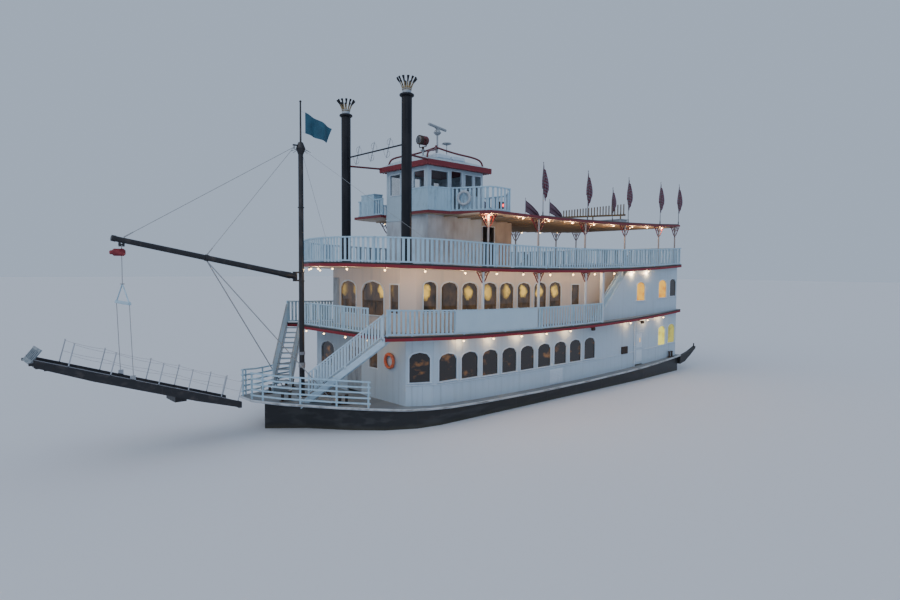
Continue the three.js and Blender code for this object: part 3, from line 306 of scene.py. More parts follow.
def rod(start, end, radius, tip=None, sides=12, edge=0.0):
    """A round bar from one point to another, smooth along its side, with its ends taken off."""
    way = Vector(end) - Vector(start)
    bpy.ops.mesh.primitive_cone_add(
        vertices=sides, radius1=radius, radius2=radius if tip is None else tip, depth=way.length,
        location=(Vector(start) + Vector(end)) / 2, rotation=way.to_track_quat("Z", "Y").to_euler())
    piece = still(bpy.context.object)
    if edge:
        modifier = piece.modifiers.new("ends", "BEVEL")
        modifier.width = edge
        modifier.segments = 2
        modifier.angle_limit = math.radians(50)
        bpy.ops.object.modifier_apply(modifier=modifier.name)
    bpy.ops.object.shade_smooth_by_angle(angle=math.radians(40))
    return piece


def pipe(points, radius, sides=3, kind="POLY"):
    """A bent bar or a wire through points."""
    bpy.ops.curve.primitive_nurbs_path_add()
    piece = bpy.context.object
    curve = piece.data
    curve.splines.clear()
    spline = curve.splines.new(kind)
    spline.points.add(len(points) - 1)
    for knot, point in zip(spline.points, points):
        knot.co = (*point, 1)
    if kind == "NURBS":
        spline.order_u = 3
        spline.use_endpoint_u = True
        curve.resolution_u = 6
    curve.dimensions = "3D"
    curve.bevel_depth = radius
    curve.bevel_resolution = sides
    curve.use_fill_caps = True
    piece.location = (0, 0, 0)
    alone(piece)
    bpy.ops.object.convert(target="MESH")
    piece = bpy.context.object
    bpy.ops.object.shade_smooth()
    return piece


def joined(pieces):
    """One piece out of several."""
    bpy.ops.object.select_all(action="DESELECT")
    for piece in pieces:
        piece.select_set(True)
    bpy.context.view_layer.objects.active = pieces[0]
    if len(pieces) > 1:
        bpy.ops.object.join()
    return bpy.context.object


def copies(model, places, keep=False):
    """Copies of a model, each with its own mesh, at places given as matrices, joined in one piece."""
    made = []
    for matrix in places:
        copy = model.copy()
        copy.data = model.data.copy()
        bpy.context.collection.objects.link(copy)
        copy.data.transform(matrix)
        if matrix.determinant() < 0:
            copy.data.flip_normals()
        made.append(copy)
    if not keep:
        bpy.data.objects.remove(model)
    return joined(made)


def finished(piece, name, finish, body="boat"):
    """Names and paints a piece, and lets it ride on its body."""
    still(piece)
    piece.name = name
    piece.data.name = name
    piece.data.materials.clear()
    piece.data.materials.append(finish)
    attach(piece, body)
    return piece


MIRROR = Matrix.Scale(-1, 4, Vector((0, 1, 0)))
BOTH = [Matrix.Identity(4), MIRROR]


def shift(x, y, z):
    return Matrix.Translation((x, y, z))


def turned(degrees, axis="Z"):
    return Matrix.Rotation(math.radians(degrees), 4, axis)


DECK_GREY = (0.17, 0.19, 0.205, 1)
DECK_WORN = (0.27, 0.29, 0.3, 1)
EDGE_WHITE = (0.54, 0.60, 0.66, 1)
RUST = (0.16, 0.075, 0.035, 1)
SHADOW_LINE = (0.02, 0.014, 0.018, 1)


def deck_finish(name, edge, underside, posts=None, low=0.0, level=None):
    """Grey non-slip paint above, one colour on the edge and one below, and on the posts under it. Given a
    level, a painted shadow runs along the top of the edge.
    """
    material, at = new_finish(name)
    worn = at.noise(0.9, (1, 1, 1), 6).ramp(0.48, 0.7)
    stains = at.noise(2.2, (1.4, 1.4, 0.12), 5).ramp(0.58, 0.75)
    top = facing(at, 2).ramp(0.5, 0.6)
    below = facing(at, 2).ramp(-0.5, -0.6)
    sides = (stains * 0.45).between(edge, RUST)
    straight = unsheered(at)
    if level:
        # Painted shadow: the top 6 cm of the edge are near black, for the shade under the railing's foot bar.
        sides = (straight > level - 0.06).between(sides, SHADOW_LINE)
    colour = below.between(top.between(sides, worn.between(DECK_GREY, DECK_WORN)), underside)
    if posts:
        colour = (straight < low - 0.03).between(colour, posts)
    coat(
        material,
        Base_Color=colour,
        Roughness=worn * 0.15 + 0.55,
        Normal=(at.noise(60, detail=2) * top).bump(0.002),
    )
    return material


main_deck_finish = deck_finish("main_deck_paint", EDGE_WHITE, HULL_BLACK)
repaint(main_deck_finish, "main_deck")

MAIN_PLAN = [
    (-12.75, 4.35), (-8.0, 4.6), (8.0, 4.6), (9.0, 4.42), (9.9, 4.1), (10.6, 3.8),
    (11.3, 3.42), (12.35, 2.72), (13.5, 1.76), (14.65, 0.88), (15.0, 0.52)]


def deck_line(plan, level, rise, inwards=0.0):
    """Points along the port side of a deck at a height over it, with a point at each station."""
    points = []
    for (x0, y0), (x1, y1) in zip(plan, plan[1:]):
        stops = [x for x in STATIONS if x0 < x < x1]
        for x in [x0, *stops]:
            share = (x - x0) / (x1 - x0)
            points.append(Vector((x, y0 + (y1 - y0) * share - inwards, level + rise(x))))
    points.append(Vector((plan[-1][0], plan[-1][1] - inwards, level + rise(plan[-1][0]))))
    return points


STRAKE_RADIUS = 0.035
strake = pipe(deck_line(MAIN_PLAN, MAIN_DECK - 0.052, main_sheer), STRAKE_RADIUS)
GUARD_GREY, place = new_finish("guard_grey")
worn = place.noise(5, (0.3, 1, 1), 5).ramp(0.45, 0.7)
coat(GUARD_GREY, Base_Color=worn.between((0.5, 0.53, 0.56, 1), (0.2, 0.19, 0.18, 1)), Roughness=0.6)
finished(copies(strake, BOTH), "rubbing_strake", GUARD_GREY)

# Stern frame, wheel and rudders. Black timber and steel bearers carry the wheel, whose red floats are
# planks bolted across the arms of two iron flanges. The paint is worn where the water scours it.
timber_finish, place = new_finish("black_timber")
grain = place.noise(9, (0.15, 1, 1), 6)
coat(
    timber_finish,
    Base_Color=grain.ramp(0.4, 0.75).between((0.012, 0.012, 0.014, 1), (0.05, 0.045, 0.04, 1)),
    Roughness=grain * 0.3 + 0.4,
    Normal=grain.bump(0.006),
)
repaint(timber_finish, "stern_frame")

wheel_finish, place = new_finish("wheel_red")
scoured = place.noise(7, (1, 0.2, 1), 6).ramp(0.5, 0.68)
coat(
    wheel_finish,
    Base_Color=scoured.between((0.28, 0.022, 0.02, 1), (0.13, 0.07, 0.045, 1)),
    Roughness=scoured * 0.3 + 0.4,
    Normal=place.noise(12, (1, 0.15, 1), 5).bump(0.004),
)
repaint(wheel_finish, "paddle_wheel")

WHEEL_AXIS = Vector((-14.5, 0, 2.3))
FLANGES = (-2.0, 2.0)
ARMS = 10
bolt = rod((1.2, 0, 0.11), (1.2, 0, 0.145), 0.028, sides=6, edge=0.006)
strap = block((1.13, -0.09, 0.088), (1.42, 0.09, 0.12), 0.008)
fixing = joined([strap, bolt])
places = [
    Matrix.Translation(WHEEL_AXIS + Vector((0, flange, 0))) @ turned(360 * i / ARMS, "Y")
    for i in range(ARMS) for flange in FLANGES]
iron_finish, place = new_finish("dark_iron", Metallic=0.6)
coat(
    iron_finish, Base_Color=place.noise(14).between((0.03, 0.03, 0.032, 1), (0.11, 0.07, 0.05, 1)),
    Roughness=0.55)
finished(copies(fixing, places), "float_straps", iron_finish, "wheel")
repaint(iron_finish, "drive_engine")

# Main-deck house. Steel walls in satin white, ribbed by their board joints below the windows, with
# rain streaks under every ledge. Each window is an arched frame round tinted glass.
WALL_WHITE = (0.47, 0.58, 0.68, 1)
WALL_GREY = (0.32, 0.37, 0.42, 1)
BOARD = 0.42
LAMPLIT_HALF = 3.5


def wall_finish(name, white, joints, lamplit_tint=None):
    """White wall paint with upright board joints, grime and rain streaks, with the warm light of the gallery
    bulbs painted on in the recess.
    """
    material, at = new_finish(name)
    if lamplit_tint:
        # Painted lamplight: within the recess the wall takes a warm, lighter colour for the bulbs' light on
        # it.
        white = (abs(at.axis(1)) < LAMPLIT_HALF).between(white, lamplit_tint)
    across = abs(facing(at, 0)) > 0.7
    along = at.axis(0) * (1 - across) + at.axis(1) * across
    joint = abs((along % BOARD) - BOARD / 2).ramp(0.011, 0.002) * joints
    streaks = at.noise(3.4, (1.3, 1.3, 0.07), 6).ramp(0.54, 0.8)
    clouds = at.noise(0.5, detail=5).ramp(0.42, 0.72)
    soiled = streaks * 0.42 + clouds * 0.16 + joint * 0.4
    coat(
        material,
        Base_Color=soiled.between(white, WALL_GREY),
        Roughness=streaks * 0.2 + 0.42,
        Normal=(at.noise(1.3, detail=3) * 0.8 - joint * 0.7).bump(0.012),
    )
    return material


main_wall_finish = wall_finish("main_wall_white", WALL_WHITE, 1.0)
repaint(
    main_wall_finish, "main_house_port", "main_house_starboard", "main_house_front", "main_house_stern",
    "main_side_door_port", "main_side_door_starboard")

HALF_HOUSE = 4.1
WALL = 0.08
FRAME_WIDTH = 0.05
FRAME_PROUD = 0.022
ARCH_RISE = 0.28


def arched_plate(width, height, rise=ARCH_RISE):
    """An upright plate with an arched head, its sill at the origin, facing +Y."""
    bpy.ops.mesh.primitive_plane_add(size=1, rotation=(-math.pi / 2, 0, 0), location=(0, 0, height / 2))
    bpy.context.object.scale = (width, height, 1)
    plate = still(bpy.context.object)
    pick(plate, "VERT", lambda at: at.z > height * 0.9)
    bpy.ops.mesh.bevel(offset=width * 0.4995, offset_type="OFFSET", affect="VERTICES", segments=7)
    done()
    pick(plate, "VERT", lambda at: at.z > height - width / 2 - 1e-4)
    bpy.ops.transform.resize(value=(1, 1, 2 * rise), center_override=(0, 0, height))
    done()
    return plate


def thick(piece, depth):
    """Gives a plate its thickness towards the side it faces."""
    alone(piece)
    modifier = piece.modifiers.new("thickness", "SOLIDIFY")
    modifier.thickness = depth
    modifier.offset = 1
    bpy.ops.object.modifier_apply(modifier=modifier.name)
    return piece


def window_frame(width, height):
    """A flat frame round an arched opening, with a sill board below it."""
    plate = arched_plate(width + 2 * FRAME_WIDTH, height + 2 * FRAME_WIDTH)
    pick(plate, "FACE", lambda at: True)
    bpy.ops.mesh.inset(thickness=FRAME_WIDTH)
    bpy.ops.mesh.delete(type="FACE")
    done()
    thick(plate, FRAME_PROUD)
    sill = block((-width / 2 - 0.09, 0, 0), (width / 2 + 0.09, 0.05, 0.045), 0.008)
    whole = joined([plate, sill])
    whole.data.transform(shift(0, 0, -FRAME_WIDTH))
    return whole


def window_pane(width, height):
    """Glass set in the middle of the wall, a little larger than its opening."""
    pane = thick(arched_plate(width + 0.03, height + 0.03), 0.008)
    pane.data.transform(shift(0, -WALL * 0.6, -0.015))
    return pane


PORT, STARBOARD, AHEAD, ASTERN = 0, 180, -90, 90
SIDE_TURNS = (1, PORT), (-1, STARBOARD)
SIDE_NAMES = (1, "port"), (-1, "starboard")
FACET_START, FACET_RUN, FACET_CUT = 8.6, 1.1, 0.5
FACET = math.degrees(math.atan2(FACET_CUT, FACET_RUN))


def side_windows(rows, half):
    """Places of windows in both side walls, each with its width and height."""
    return [
        (shift(*on_sheer(x, side * half, sill)) @ turned(turn), width, head - sill)
        for x, width, sill, head in rows for side, turn in SIDE_TURNS]


SALOON_SILL, SALOON_HEAD, SALOON_PITCH = 2.95, 4.12, 1.316
CREW_SILL, CREW_HEAD, CREW_WIDTH = 2.85, 4.05, 0.88
STERN_ROW = (-2.6, 0, 2.6)
saloon_windows = side_windows(
    [(7.78 - SALOON_PITCH * i, 1.03, SALOON_SILL, SALOON_HEAD) for i in range(9)], HALF_HOUSE)
crew_windows = side_windows([(x, CREW_WIDTH, CREW_SILL, CREW_HEAD) for x in (-10.64, -11.89)], HALF_HOUSE)
FRONT_X, STERN_X = 9.7, -12.5
FACET_SHARE = 0.604 / math.hypot(FACET_RUN, FACET_CUT)
facet_x, facet_y = FACET_START + FACET_RUN * FACET_SHARE, HALF_HOUSE - FACET_CUT * FACET_SHARE
for side, turn in ((1, -FACET), (-1, 180 + FACET)):
    saloon_windows.append(
        (shift(facet_x, side * facet_y, SALOON_SILL + sheer(9.15)) @ turned(turn), 0.9, 1.25))
saloon_windows.append((
    shift(*on_sheer(FRONT_X, -2.56, SALOON_SILL)) @ turned(AHEAD), 1.2, SALOON_HEAD - SALOON_SILL))
crew_windows += [
    (shift(*on_sheer(STERN_X, y, CREW_SILL)) @ turned(ASTERN), CREW_WIDTH, CREW_HEAD - CREW_SILL)
    for y in STERN_ROW]


def fitted(windows, model):
    """One frame or pane for each window, modelled once for each size."""
    made = []
    for width, height in sorted({(w, round(h, 3)) for _, w, h in windows}):
        places = [at for at, w, h in windows if (w, round(h, 3)) == (width, height)]
        made.append(copies(model(width, height), places))
    return joined(made)


trim_finish, place = new_finish("trim_white")
dirt = place.noise(6, (1, 1, 0.3), 5).ramp(0.5, 0.78)
coat(trim_finish, Base_Color=(dirt * 0.35).between((0.60, 0.69, 0.78, 1), WALL_GREY), Roughness=0.4)
finished(fitted(saloon_windows + crew_windows, window_frame), "main_window_frames", trim_finish)


def glass_finish(name, dark, lit, share, glow):
    """Tinted glass that glows with painted warm light in patches, standing in for lit rooms behind it."""
    material, at = new_finish(name, Specular_IOR_Level=0.6, Emission_Strength=glow)
    # Painted light: the glass itself glows in patches, for lit rooms behind it.
    painted_glow_patch = at.noise(1.9, (1, 1, 1.6), 4).ramp(0.66 - share, 0.9 - share)
    coat(
        material, Base_Color=(0.012, 0.012, 0.014, 1), Roughness=0.07,
        Emission_Color=painted_glow_patch.between(dark, lit), Normal=at.noise(0.9).bump(0.004))
    return material


# Each of these glass finishes glows with painted room light: faintly in a few patches, or over most of the
# pane.
dark_glass = glass_finish("dark_glass", (0.012, 0.008, 0.006, 1), (0.5, 0.22, 0.05, 1), 0.09, 0.5)
yellow_glass = glass_finish("yellow_lit_glass", (0.62, 0.50, 0.03, 1), (0.95, 0.84, 0.10, 1), 0.35, 1.15)
olive_glass = glass_finish("olive_lit_glass", (0.22, 0.20, 0.02, 1), (0.5, 0.46, 0.06, 1), 0.35, 1.0)
finished(fitted(saloon_windows, window_pane), "saloon_panes", dark_glass)
finished(fitted(crew_windows[:2] + crew_windows[4:], window_pane), "crew_panes", yellow_glass)
finished(fitted(crew_windows[2:4], window_pane), "aft_crew_panes", olive_glass)

# Fittings on the main-deck wall: a moulding at sill height, panelled doors, a louvre, a vent, a rain pipe
# and two flood lamps. They are pressed steel and cast aluminium, screwed to the wall.
MOULD = 2.83
WALL_FACE = 4.12
side_mould = [(-12.45, WALL_FACE), (-8.45, WALL_FACE)], [(-7.3, WALL_FACE), (8.62, WALL_FACE), (9.72, 3.62)]
mouldings = [pipe(deck_line(pair, MOULD, sheer), 0.02) for run in side_mould for pair in zip(run, run[1:])]
louvre = [block((-0.32, 4.1, 1.98), (0.74, 4.125, 2.74), 0.01)]
louvre += [block((-0.26, 4.12, 2.06 + 0.08 * i), (0.68, 4.15, 2.085 + 0.08 * i), 0.006) for i in range(8)]
rain_pipe = [rod((-7.32, 4.15, 1.96), (-7.32, 4.15, 4.7), 0.035)]
rain_pipe += [block((-7.38, 4.08, z), (-7.26, 4.19, z + 0.04), 0.008) for z in (2.4, 3.3, 4.2)]
side_fittings = joined([*mouldings, *louvre, *rain_pipe])
finished(copies(side_fittings, BOTH), "wall_fittings", trim_finish)

vent = [block((-6.6, 4.1, 2.92), (-5.92, 4.16, 3.36), 0.02)]
vent += [block((-6.54, 4.15, 2.98 + 0.08 * i), (-5.98, 4.185, 3.0 + 0.08 * i), 0.006) for i in range(5)]
flood = joined([
    block((-2.8, 4.28, 4.55), (-2.56, 4.44, 4.73), 0.03), rod((-2.68, 4.3, 4.64), (-2.68, 4.1, 4.72), 0.02)])
dark_fittings = joined([joined(vent), copies(flood, [Matrix.Identity(4), shift(-5.13, 0, 0.09)])])
finished(copies(dark_fittings, BOTH), "dark_wall_fittings", iron_finish)

door_finish, place = new_finish("door_grey")
rubbed = place.noise(4, (1, 1, 0.4), 5).ramp(0.5, 0.8)
coat(door_finish, Base_Color=rubbed.between((0.30, 0.34, 0.38, 1), (0.16, 0.17, 0.18, 1)), Roughness=0.45)
repaint(door_finish, "main_front_door")
DOOR_FOOT = MAIN_DECK + main_sheer(10.87) + 0.025
HANDLE = 0.95
front_panels = joined([
    block((9.695, -0.66, DOOR_FOOT + 0.16), (9.712, 0.2, DOOR_FOOT + 0.86), 0.008),
    block((9.695, -0.66, DOOR_FOOT + 1.0), (9.712, 0.2, DOOR_FOOT + 1.82), 0.008),
    rod((9.70, -0.72, DOOR_FOOT + HANDLE), (9.76, -0.72, DOOR_FOOT + HANDLE), 0.016),
    rod((9.75, -0.76, DOOR_FOOT + HANDLE), (9.75, -0.62, DOOR_FOOT + HANDLE), 0.012, edge=0.004)])
finished(front_panels, "front_door_panels", door_finish, "front_door")
SIDE_FOOT = MAIN_DECK + main_sheer(-8.2) + 0.06


def on_side_doors(piece, name, finish):
    """A piece on the port side door, and its copy on the starboard one."""
    starboard_piece = copies(piece, [MIRROR], keep=True)
    finished(piece, f"{name}_port", finish, "side_door_port")
    finished(starboard_piece, f"{name}_starboard", finish, "side_door_starboard")


side_panels = joined([
    block((-8.25, 4.095, SIDE_FOOT + 0.15), (-7.6, 4.112, SIDE_FOOT + 0.85), 0.008),
    block((-8.25, 4.095, SIDE_FOOT + 1.0), (-7.6, 4.112, SIDE_FOOT + 1.85), 0.008),
    rod((-8.28, 4.1, SIDE_FOOT + HANDLE), (-8.28, 4.16, SIDE_FOOT + HANDLE), 0.016),
    rod((-8.3, 4.15, SIDE_FOOT + HANDLE), (-8.17, 4.15, SIDE_FOOT + HANDLE), 0.012, edge=0.004)])
on_side_doors(side_panels, "side_door_panels", trim_finish)
deadlight = block((-8.06, 4.108, SIDE_FOOT + 1.32), (-7.94, 4.118, SIDE_FOOT + 1.58), 0.004)
# The small pane glows with painted light of a lit room behind the door.
lit_pane = glass_finish("deadlight_glass", (0.75, 0.38, 0.1, 1), (1.0, 0.62, 0.25, 1), 0.35, 1.0)
on_side_doors(deadlight, "side_door_light", lit_pane)


def torus(major, minor, at=(0, 0, 0), around=36, across=10, turn=(0, 0, 0)):
    """A ring of round bar."""
    bpy.ops.mesh.primitive_torus_add(
        major_radius=major, minor_radius=minor, major_segments=around, minor_segments=across,
        location=at, rotation=turn)
    return still(bpy.context.object)


def life_ring(centre, turn):
    """A ring buoy with its four bands, hung flat on a wall or a railing."""
    ring = torus(0.29, 0.065, across=12)
    bands = []
    for i in range(4):
        band = torus(0.068, 0.012, around=14, across=6)
        band.matrix_world = (
            turned(45 + 90 * i) @ shift(0.29, 0, 0) @ turned(90, "X") @ Matrix.Scale(2.6, 4, (0, 0, 1)))
        bands.append(still(band))
    whole = joined([ring, *bands])
    whole.data.transform(shift(*centre) @ turned(turn) @ turned(90, "X"))
    bpy.ops.object.shade_smooth()
    return whole


ring_finish, place = new_finish("ring_orange", Roughness=0.6)
chalk = place.noise(8, detail=5).ramp(0.4, 0.7)
coat(ring_finish, Base_Color=chalk.between((0.62, 0.12, 0.05, 1), (0.5, 0.2, 0.12, 1)))
foredeck_ring = life_ring((9.785, 2.58, 3.75 + sheer(9.7)), AHEAD)
finished(foredeck_ring, "foredeck_life_ring", ring_finish)

# Second deck. A timber gallery deck with a red edge board and a cream boarded underside, where warm
# bulbs in tin cups hang in a row and light the wall below.
RED_TRIM = (0.235, 0.010, 0.022, 1)
CREAM = (0.60, 0.52, 0.42, 1)
POST_WHITE = (0.58, 0.64, 0.70, 1)
# The level paints a dark shadow line along the top of the red edge.
second_finish = deck_finish("second_deck_paint", RED_TRIM, CREAM, level=SECOND_DECK)
repaint(second_finish, "second_deck")

bulb_finish, place = new_finish("warm_bulb", Emission_Strength=9.0)
coat(bulb_finish, Base_Color=(1.0, 0.8, 0.5, 1), Emission_Color=(1.0, 0.66, 0.32, 1), Roughness=0.3)
cup_finish, place = new_finish("tin_cup", Metallic=0.7)
coat(
    cup_finish, Base_Color=place.noise(30).between((0.3, 0.28, 0.26, 1), (0.1, 0.09, 0.08, 1)),
    Roughness=0.4)
BULB_RADIUS = 0.042
BULB_DROP = 0.1


def lamp_row(name, places, power):
    """Bulbs in their cups below an edge, with a warm light at each one on the side the photo shows."""
    bpy.ops.mesh.primitive_uv_sphere_add(segments=10, ring_count=6, radius=BULB_RADIUS)
    bulb = still(bpy.context.object)
    bpy.ops.object.shade_smooth()
    cup = rod((0, 0, 0.025), (0, 0, 0.1), 0.04, 0.022, sides=10)
    spots = [shift(x, side * y, z) for x, y, z in places for side in ((1, -1) if y else (1,))]
    finished(copies(bulb, spots), f"{name}_bulbs", bulb_finish)
    finished(copies(cup, spots), f"{name}_cups", cup_finish)
    for x, y, z in places:
        bpy.ops.object.light_add(type="POINT", location=(x, y - 0.04, z - 0.1))
        bpy.context.object.data.energy = power
        bpy.context.object.data.color = (1.0, 0.62, 0.30)
        bpy.context.object.data.shadow_soft_size = 0.06


SECOND_UNDER, TOP_UNDER, CANOPY_UNDER = 4.76, 7.70, 10.35
second_lamps = [
    on_sheer(x, 4.42, SECOND_UNDER - BULB_DROP)
    for x in (7.15, 5.27, 3.33, 1.44, -0.55, -6.39, -8.33, -10.22)]
second_lamps += [on_sheer(10.9, y, SECOND_UNDER - BULB_DROP) for y in (2.5, 0.9)]
lamp_row("second_deck", second_lamps, 11)

# Second-deck house. The same painted walls, narrower, with tall arched windows of a lit saloon along the
# gallery, and full width aft where the galley and crew rooms are.
# The last colour is warm lamplight from the gallery bulbs, painted on the walls in the recess.
upper_wall_finish = wall_finish("upper_wall_white", (0.45, 0.56, 0.66, 1), 0.0, (0.60, 0.54, 0.50, 1))
repaint(
    upper_wall_finish, "upper_house_port", "upper_house_starboard", "upper_house_front", "upper_house_stern")
HALF_UPPER = 3.2
UPPER_FRONT_X = 9.3
UPPER_SILL, UPPER_HEAD = 5.85, 7.18
GALLEY_SILL, GALLEY_HEAD = 5.87, 6.98
upper_rows = [(8.045, 0.75, UPPER_SILL, UPPER_HEAD)]
upper_rows += [(x, 0.99, UPPER_SILL, UPPER_HEAD) for x in (6.895, 5.62, 4.3, 3.08, 1.78, 0.48, -0.77)]
upper_saloon = side_windows(upper_rows, HALF_UPPER)
upper_saloon += [
    (shift(*on_sheer(UPPER_FRONT_X, y, 5.6)) @ turned(AHEAD), width, 1.52)
    for y, width in ((-1.33, 1.3), (0.67, 1.7))]
galley_rows = [
    (x, width, GALLEY_SILL, GALLEY_HEAD) for x, width in ((-8.0, 0.93), (-10.63, 0.96), (-11.96, 0.8))]
upper_crew = side_windows(galley_rows, HALF_HOUSE)
upper_crew += [
    (shift(*on_sheer(STERN_X, y, GALLEY_SILL)) @ turned(ASTERN), CREW_WIDTH, GALLEY_HEAD - GALLEY_SILL)
    for y in STERN_ROW]
finished(fitted(upper_saloon + upper_crew, window_frame), "upper_window_frames", trim_finish)
UPPER_PITCH, LAMP_HEIGHT = 1.29, 6.72
# Painted light: each saloon pane glows warm round a spot at lamp height in the middle of its bay, for the
# lamps behind it, over a dim painted glow of the room.
saloon_glass, place = new_finish("saloon_glass", Specular_IOR_Level=0.6, Emission_Strength=1.0)
aside = abs(((place.axis(0) + 0.77 + UPPER_PITCH / 2) % UPPER_PITCH) - UPPER_PITCH / 2)
aside = aside * (1 - facing(place, 0)) + abs((place.axis(1) % 1.0) - 0.33) * facing(place, 0)
above = unsheered(place) - LAMP_HEIGHT
spread = aside * aside + above * above * 0.8 + (place.noise(4, detail=3) - 0.5) * 0.22
uneven = place.noise(0.42, (1, 1, 0.2), 2).ramp(0.36, 0.52)
painted_lamp_glow = spread.ramp(0.11, 0.015) * uneven
room = place.noise(3.2, (1, 1, 0.6), 4).ramp(0.3, 0.75)
painted_room_glow = room.between((0.012, 0.010, 0.009, 1), (0.10, 0.055, 0.025, 1))
coat(
    saloon_glass, Base_Color=(0.014, 0.013, 0.014, 1), Roughness=0.08,
    Emission_Color=painted_lamp_glow.between(painted_room_glow, (1.0, 0.62, 0.10, 1)), Normal=place.noise(0.9).bump(0.004))
finished(fitted(upper_saloon, window_pane), "upper_saloon_panes", saloon_glass)
orange_glass = glass_finish("orange_lit_glass", (0.70, 0.27, 0.004, 1), (1.0, 0.50, 0.02, 1), 0.35, 1.2)
finished(fitted(upper_crew[:4] + upper_crew[6:], window_pane), "upper_crew_panes", orange_glass)
finished(fitted(upper_crew[4:6], window_pane), "unlit_crew_panes", dark_glass)


def square_frame(width, height, bar=FRAME_WIDTH):
    """A flat frame round a squared opening, its sill at the origin, facing +Y."""
    bpy.ops.mesh.primitive_plane_add(size=1, rotation=(-math.pi / 2, 0, 0), location=(0, 0, height / 2))
    bpy.context.object.scale = (width + 2 * bar, height + 2 * bar, 1)
    plate = still(bpy.context.object)
    pick(plate, "FACE", lambda at: True)
    bpy.ops.mesh.inset(thickness=bar)
    bpy.ops.mesh.delete(type="FACE")
    done()
    return thick(plate, FRAME_PROUD)


def square_pane(width, height):
    return block((-width / 2 - 0.01, -0.055, -0.01), (width / 2 + 0.01, -0.045, height + 0.01))


oblongs = side_windows([(-2.59, 0.72, 5.9, 7.0)], HALF_UPPER)
oblongs += [
    (shift(*on_sheer(UPPER_FRONT_X, 2.3, 5.75)) @ turned(AHEAD), 0.6, 1.25),
    (shift(*on_sheer(FRONT_X, 1.3, 3.3)) @ turned(AHEAD), 0.64, 0.75)]
finished(fitted(oblongs, square_frame), "square_window_frames", trim_finish)
finished(fitted(oblongs, square_pane), "square_panes", saloon_glass)

gallery_door = joined([
    block((UPPER_FRONT_X, -2.66, 5.0), (UPPER_FRONT_X + 0.03, -2.14, 7.25), 0.01),
    block((UPPER_FRONT_X + 0.02, -2.58, 5.98), (UPPER_FRONT_X + 0.045, -2.22, 7.15), 0.008),
    rod((UPPER_FRONT_X + 0.02, -2.2, 6.1), (UPPER_FRONT_X + 0.09, -2.2, 6.1), 0.014)])
gallery_door.data.transform(shift(0, 0, sheer(UPPER_FRONT_X)))
finished(gallery_door, "gallery_door", door_finish)

# Railings. Painted pine pickets stand between the two bars of each railing, nailed close enough to be
# safe for children. Ahead of the pilothouse the railing is boarded solid.
rail_finish, place = new_finish("rail_white")
knocks = place.noise(5, (1, 1, 0.5), 6).ramp(0.52, 0.8)
coat(
    rail_finish, Base_Color=(knocks * 0.5).between((0.40, 0.57, 0.69, 1), (0.2, 0.27, 0.32, 1)),
    Roughness=knocks * 0.2 + 0.4, Normal=place.noise(14, (1, 1, 0.15)).bump(0.003))
repaint(
    rail_finish, "second_rail_port", "second_rail_starboard", "second_rail_front", "top_deck_rail",
    "pilothouse_rail", "bow_rail_port", "bow_rail_starboard")

SECOND_PLAN = [(-12.7, 4.3), (-6.5, 4.6), (-3.0, 4.7), (8.0, 4.7), (9.0, 4.5), (11.1, 4.2)]


def round_front(x, length, half, steps=6):
    turns = [math.pi / 2 * i / steps for i in range(steps + 1)]
    return [(x + length * math.sin(turn), half * math.cos(turn) if turn < 1.5 else 0) for turn in turns]


TOP_PLAN = [(-12.7, 4.3), (-6.5, 4.6), (-3.0, 4.7), *round_front(8.0, 3.6, 4.7)]
RAIL_MIDDLE = 0.06
PICKET_PITCH = 0.215


def all_round(plan):
    """A closed outline from the port half of a plan."""
    return plan + [(x, -y) for x, y in reversed(plan) if y]


def drawn_in(outline, distance):
    """A closed outline moved inwards."""
    moved = []
    for i, at in enumerate(outline):
        before = (Vector(at) - Vector(outline[i - 1])).normalized()
        after = (Vector(outline[(i + 1) % len(outline)]) - Vector(at)).normalized()
        sides = Vector((before.y, -before.x)), Vector((after.y, -after.x))
        moved.append(Vector(at) + distance * (sides[0] + sides[1]) / (1 + sides[0].dot(sides[1])))
    return moved


def picket_places(outline, level, test, pitch=PICKET_PITCH):
    """Evenly spaced places along a closed outline, turned along it, where the test of x and y holds."""
    places = []
    for i, start in enumerate(outline):
        way = Vector(outline[(i + 1) % len(outline)]) - Vector(start)
        count = max(1, round(way.length / pitch))
        for step in range(count):
            at = Vector(start) + way * (step + 0.5) / count
            if test(at.x, at.y):
                angle = math.degrees(math.atan2(way.y, way.x))
                places.append(shift(at.x, at.y, level + sheer(at.x)) @ turned(angle))
    return places


def picket(height, width=0.115):
    return block((-width / 2, -0.011, 0.08), (width / 2, 0.011, height - 0.045), 0.004)


RAIL_HEIGHT, WALK_RAIL_HEIGHT, LOW_RAIL_HEIGHT = 1.075, 1.13, 0.85
BOARD_WIDTH, BOARD_PITCH = 0.15, 0.16
second_ring = drawn_in(all_round(SECOND_PLAN), RAIL_MIDDLE)
places = picket_places(
    second_ring, SECOND_DECK, lambda x, y: (x > -3.1 and abs(y) > 4.1) or (x > 11 and abs(y) < 2.8))
finished(copies(picket(RAIL_HEIGHT), places), "second_deck_pickets", rail_finish)
top_ring = drawn_in(all_round(TOP_PLAN), RAIL_MIDDLE)
places = picket_places(top_ring, TOP_DECK, lambda x, y: True)
finished(copies(picket(RAIL_HEIGHT), places), "top_deck_pickets", rail_finish)
WALK_PLAN = [
    (2.1, 2.3), (3.85, 4.13), (4.85, 4.13), (5.18, 4.03), (5.98, 2.23), (7.0, 1.78), (7.0, -4.0),
    (6.65, -4.15), (3.85, -4.15), (2.1, -2.3)]
walk_ring = drawn_in(WALK_PLAN, RAIL_MIDDLE)


def boarded(x, y):
    """Where the walk's railing is boarded solid."""
    return x > 5.98 and y > 0.05


def behind_locker(x, y):
    """Where a locker stands in place of the walk's low railing."""
    return (x > 6.8 and y > -1.85) or (x > 6.4 and -3.72 < y < -2.53)


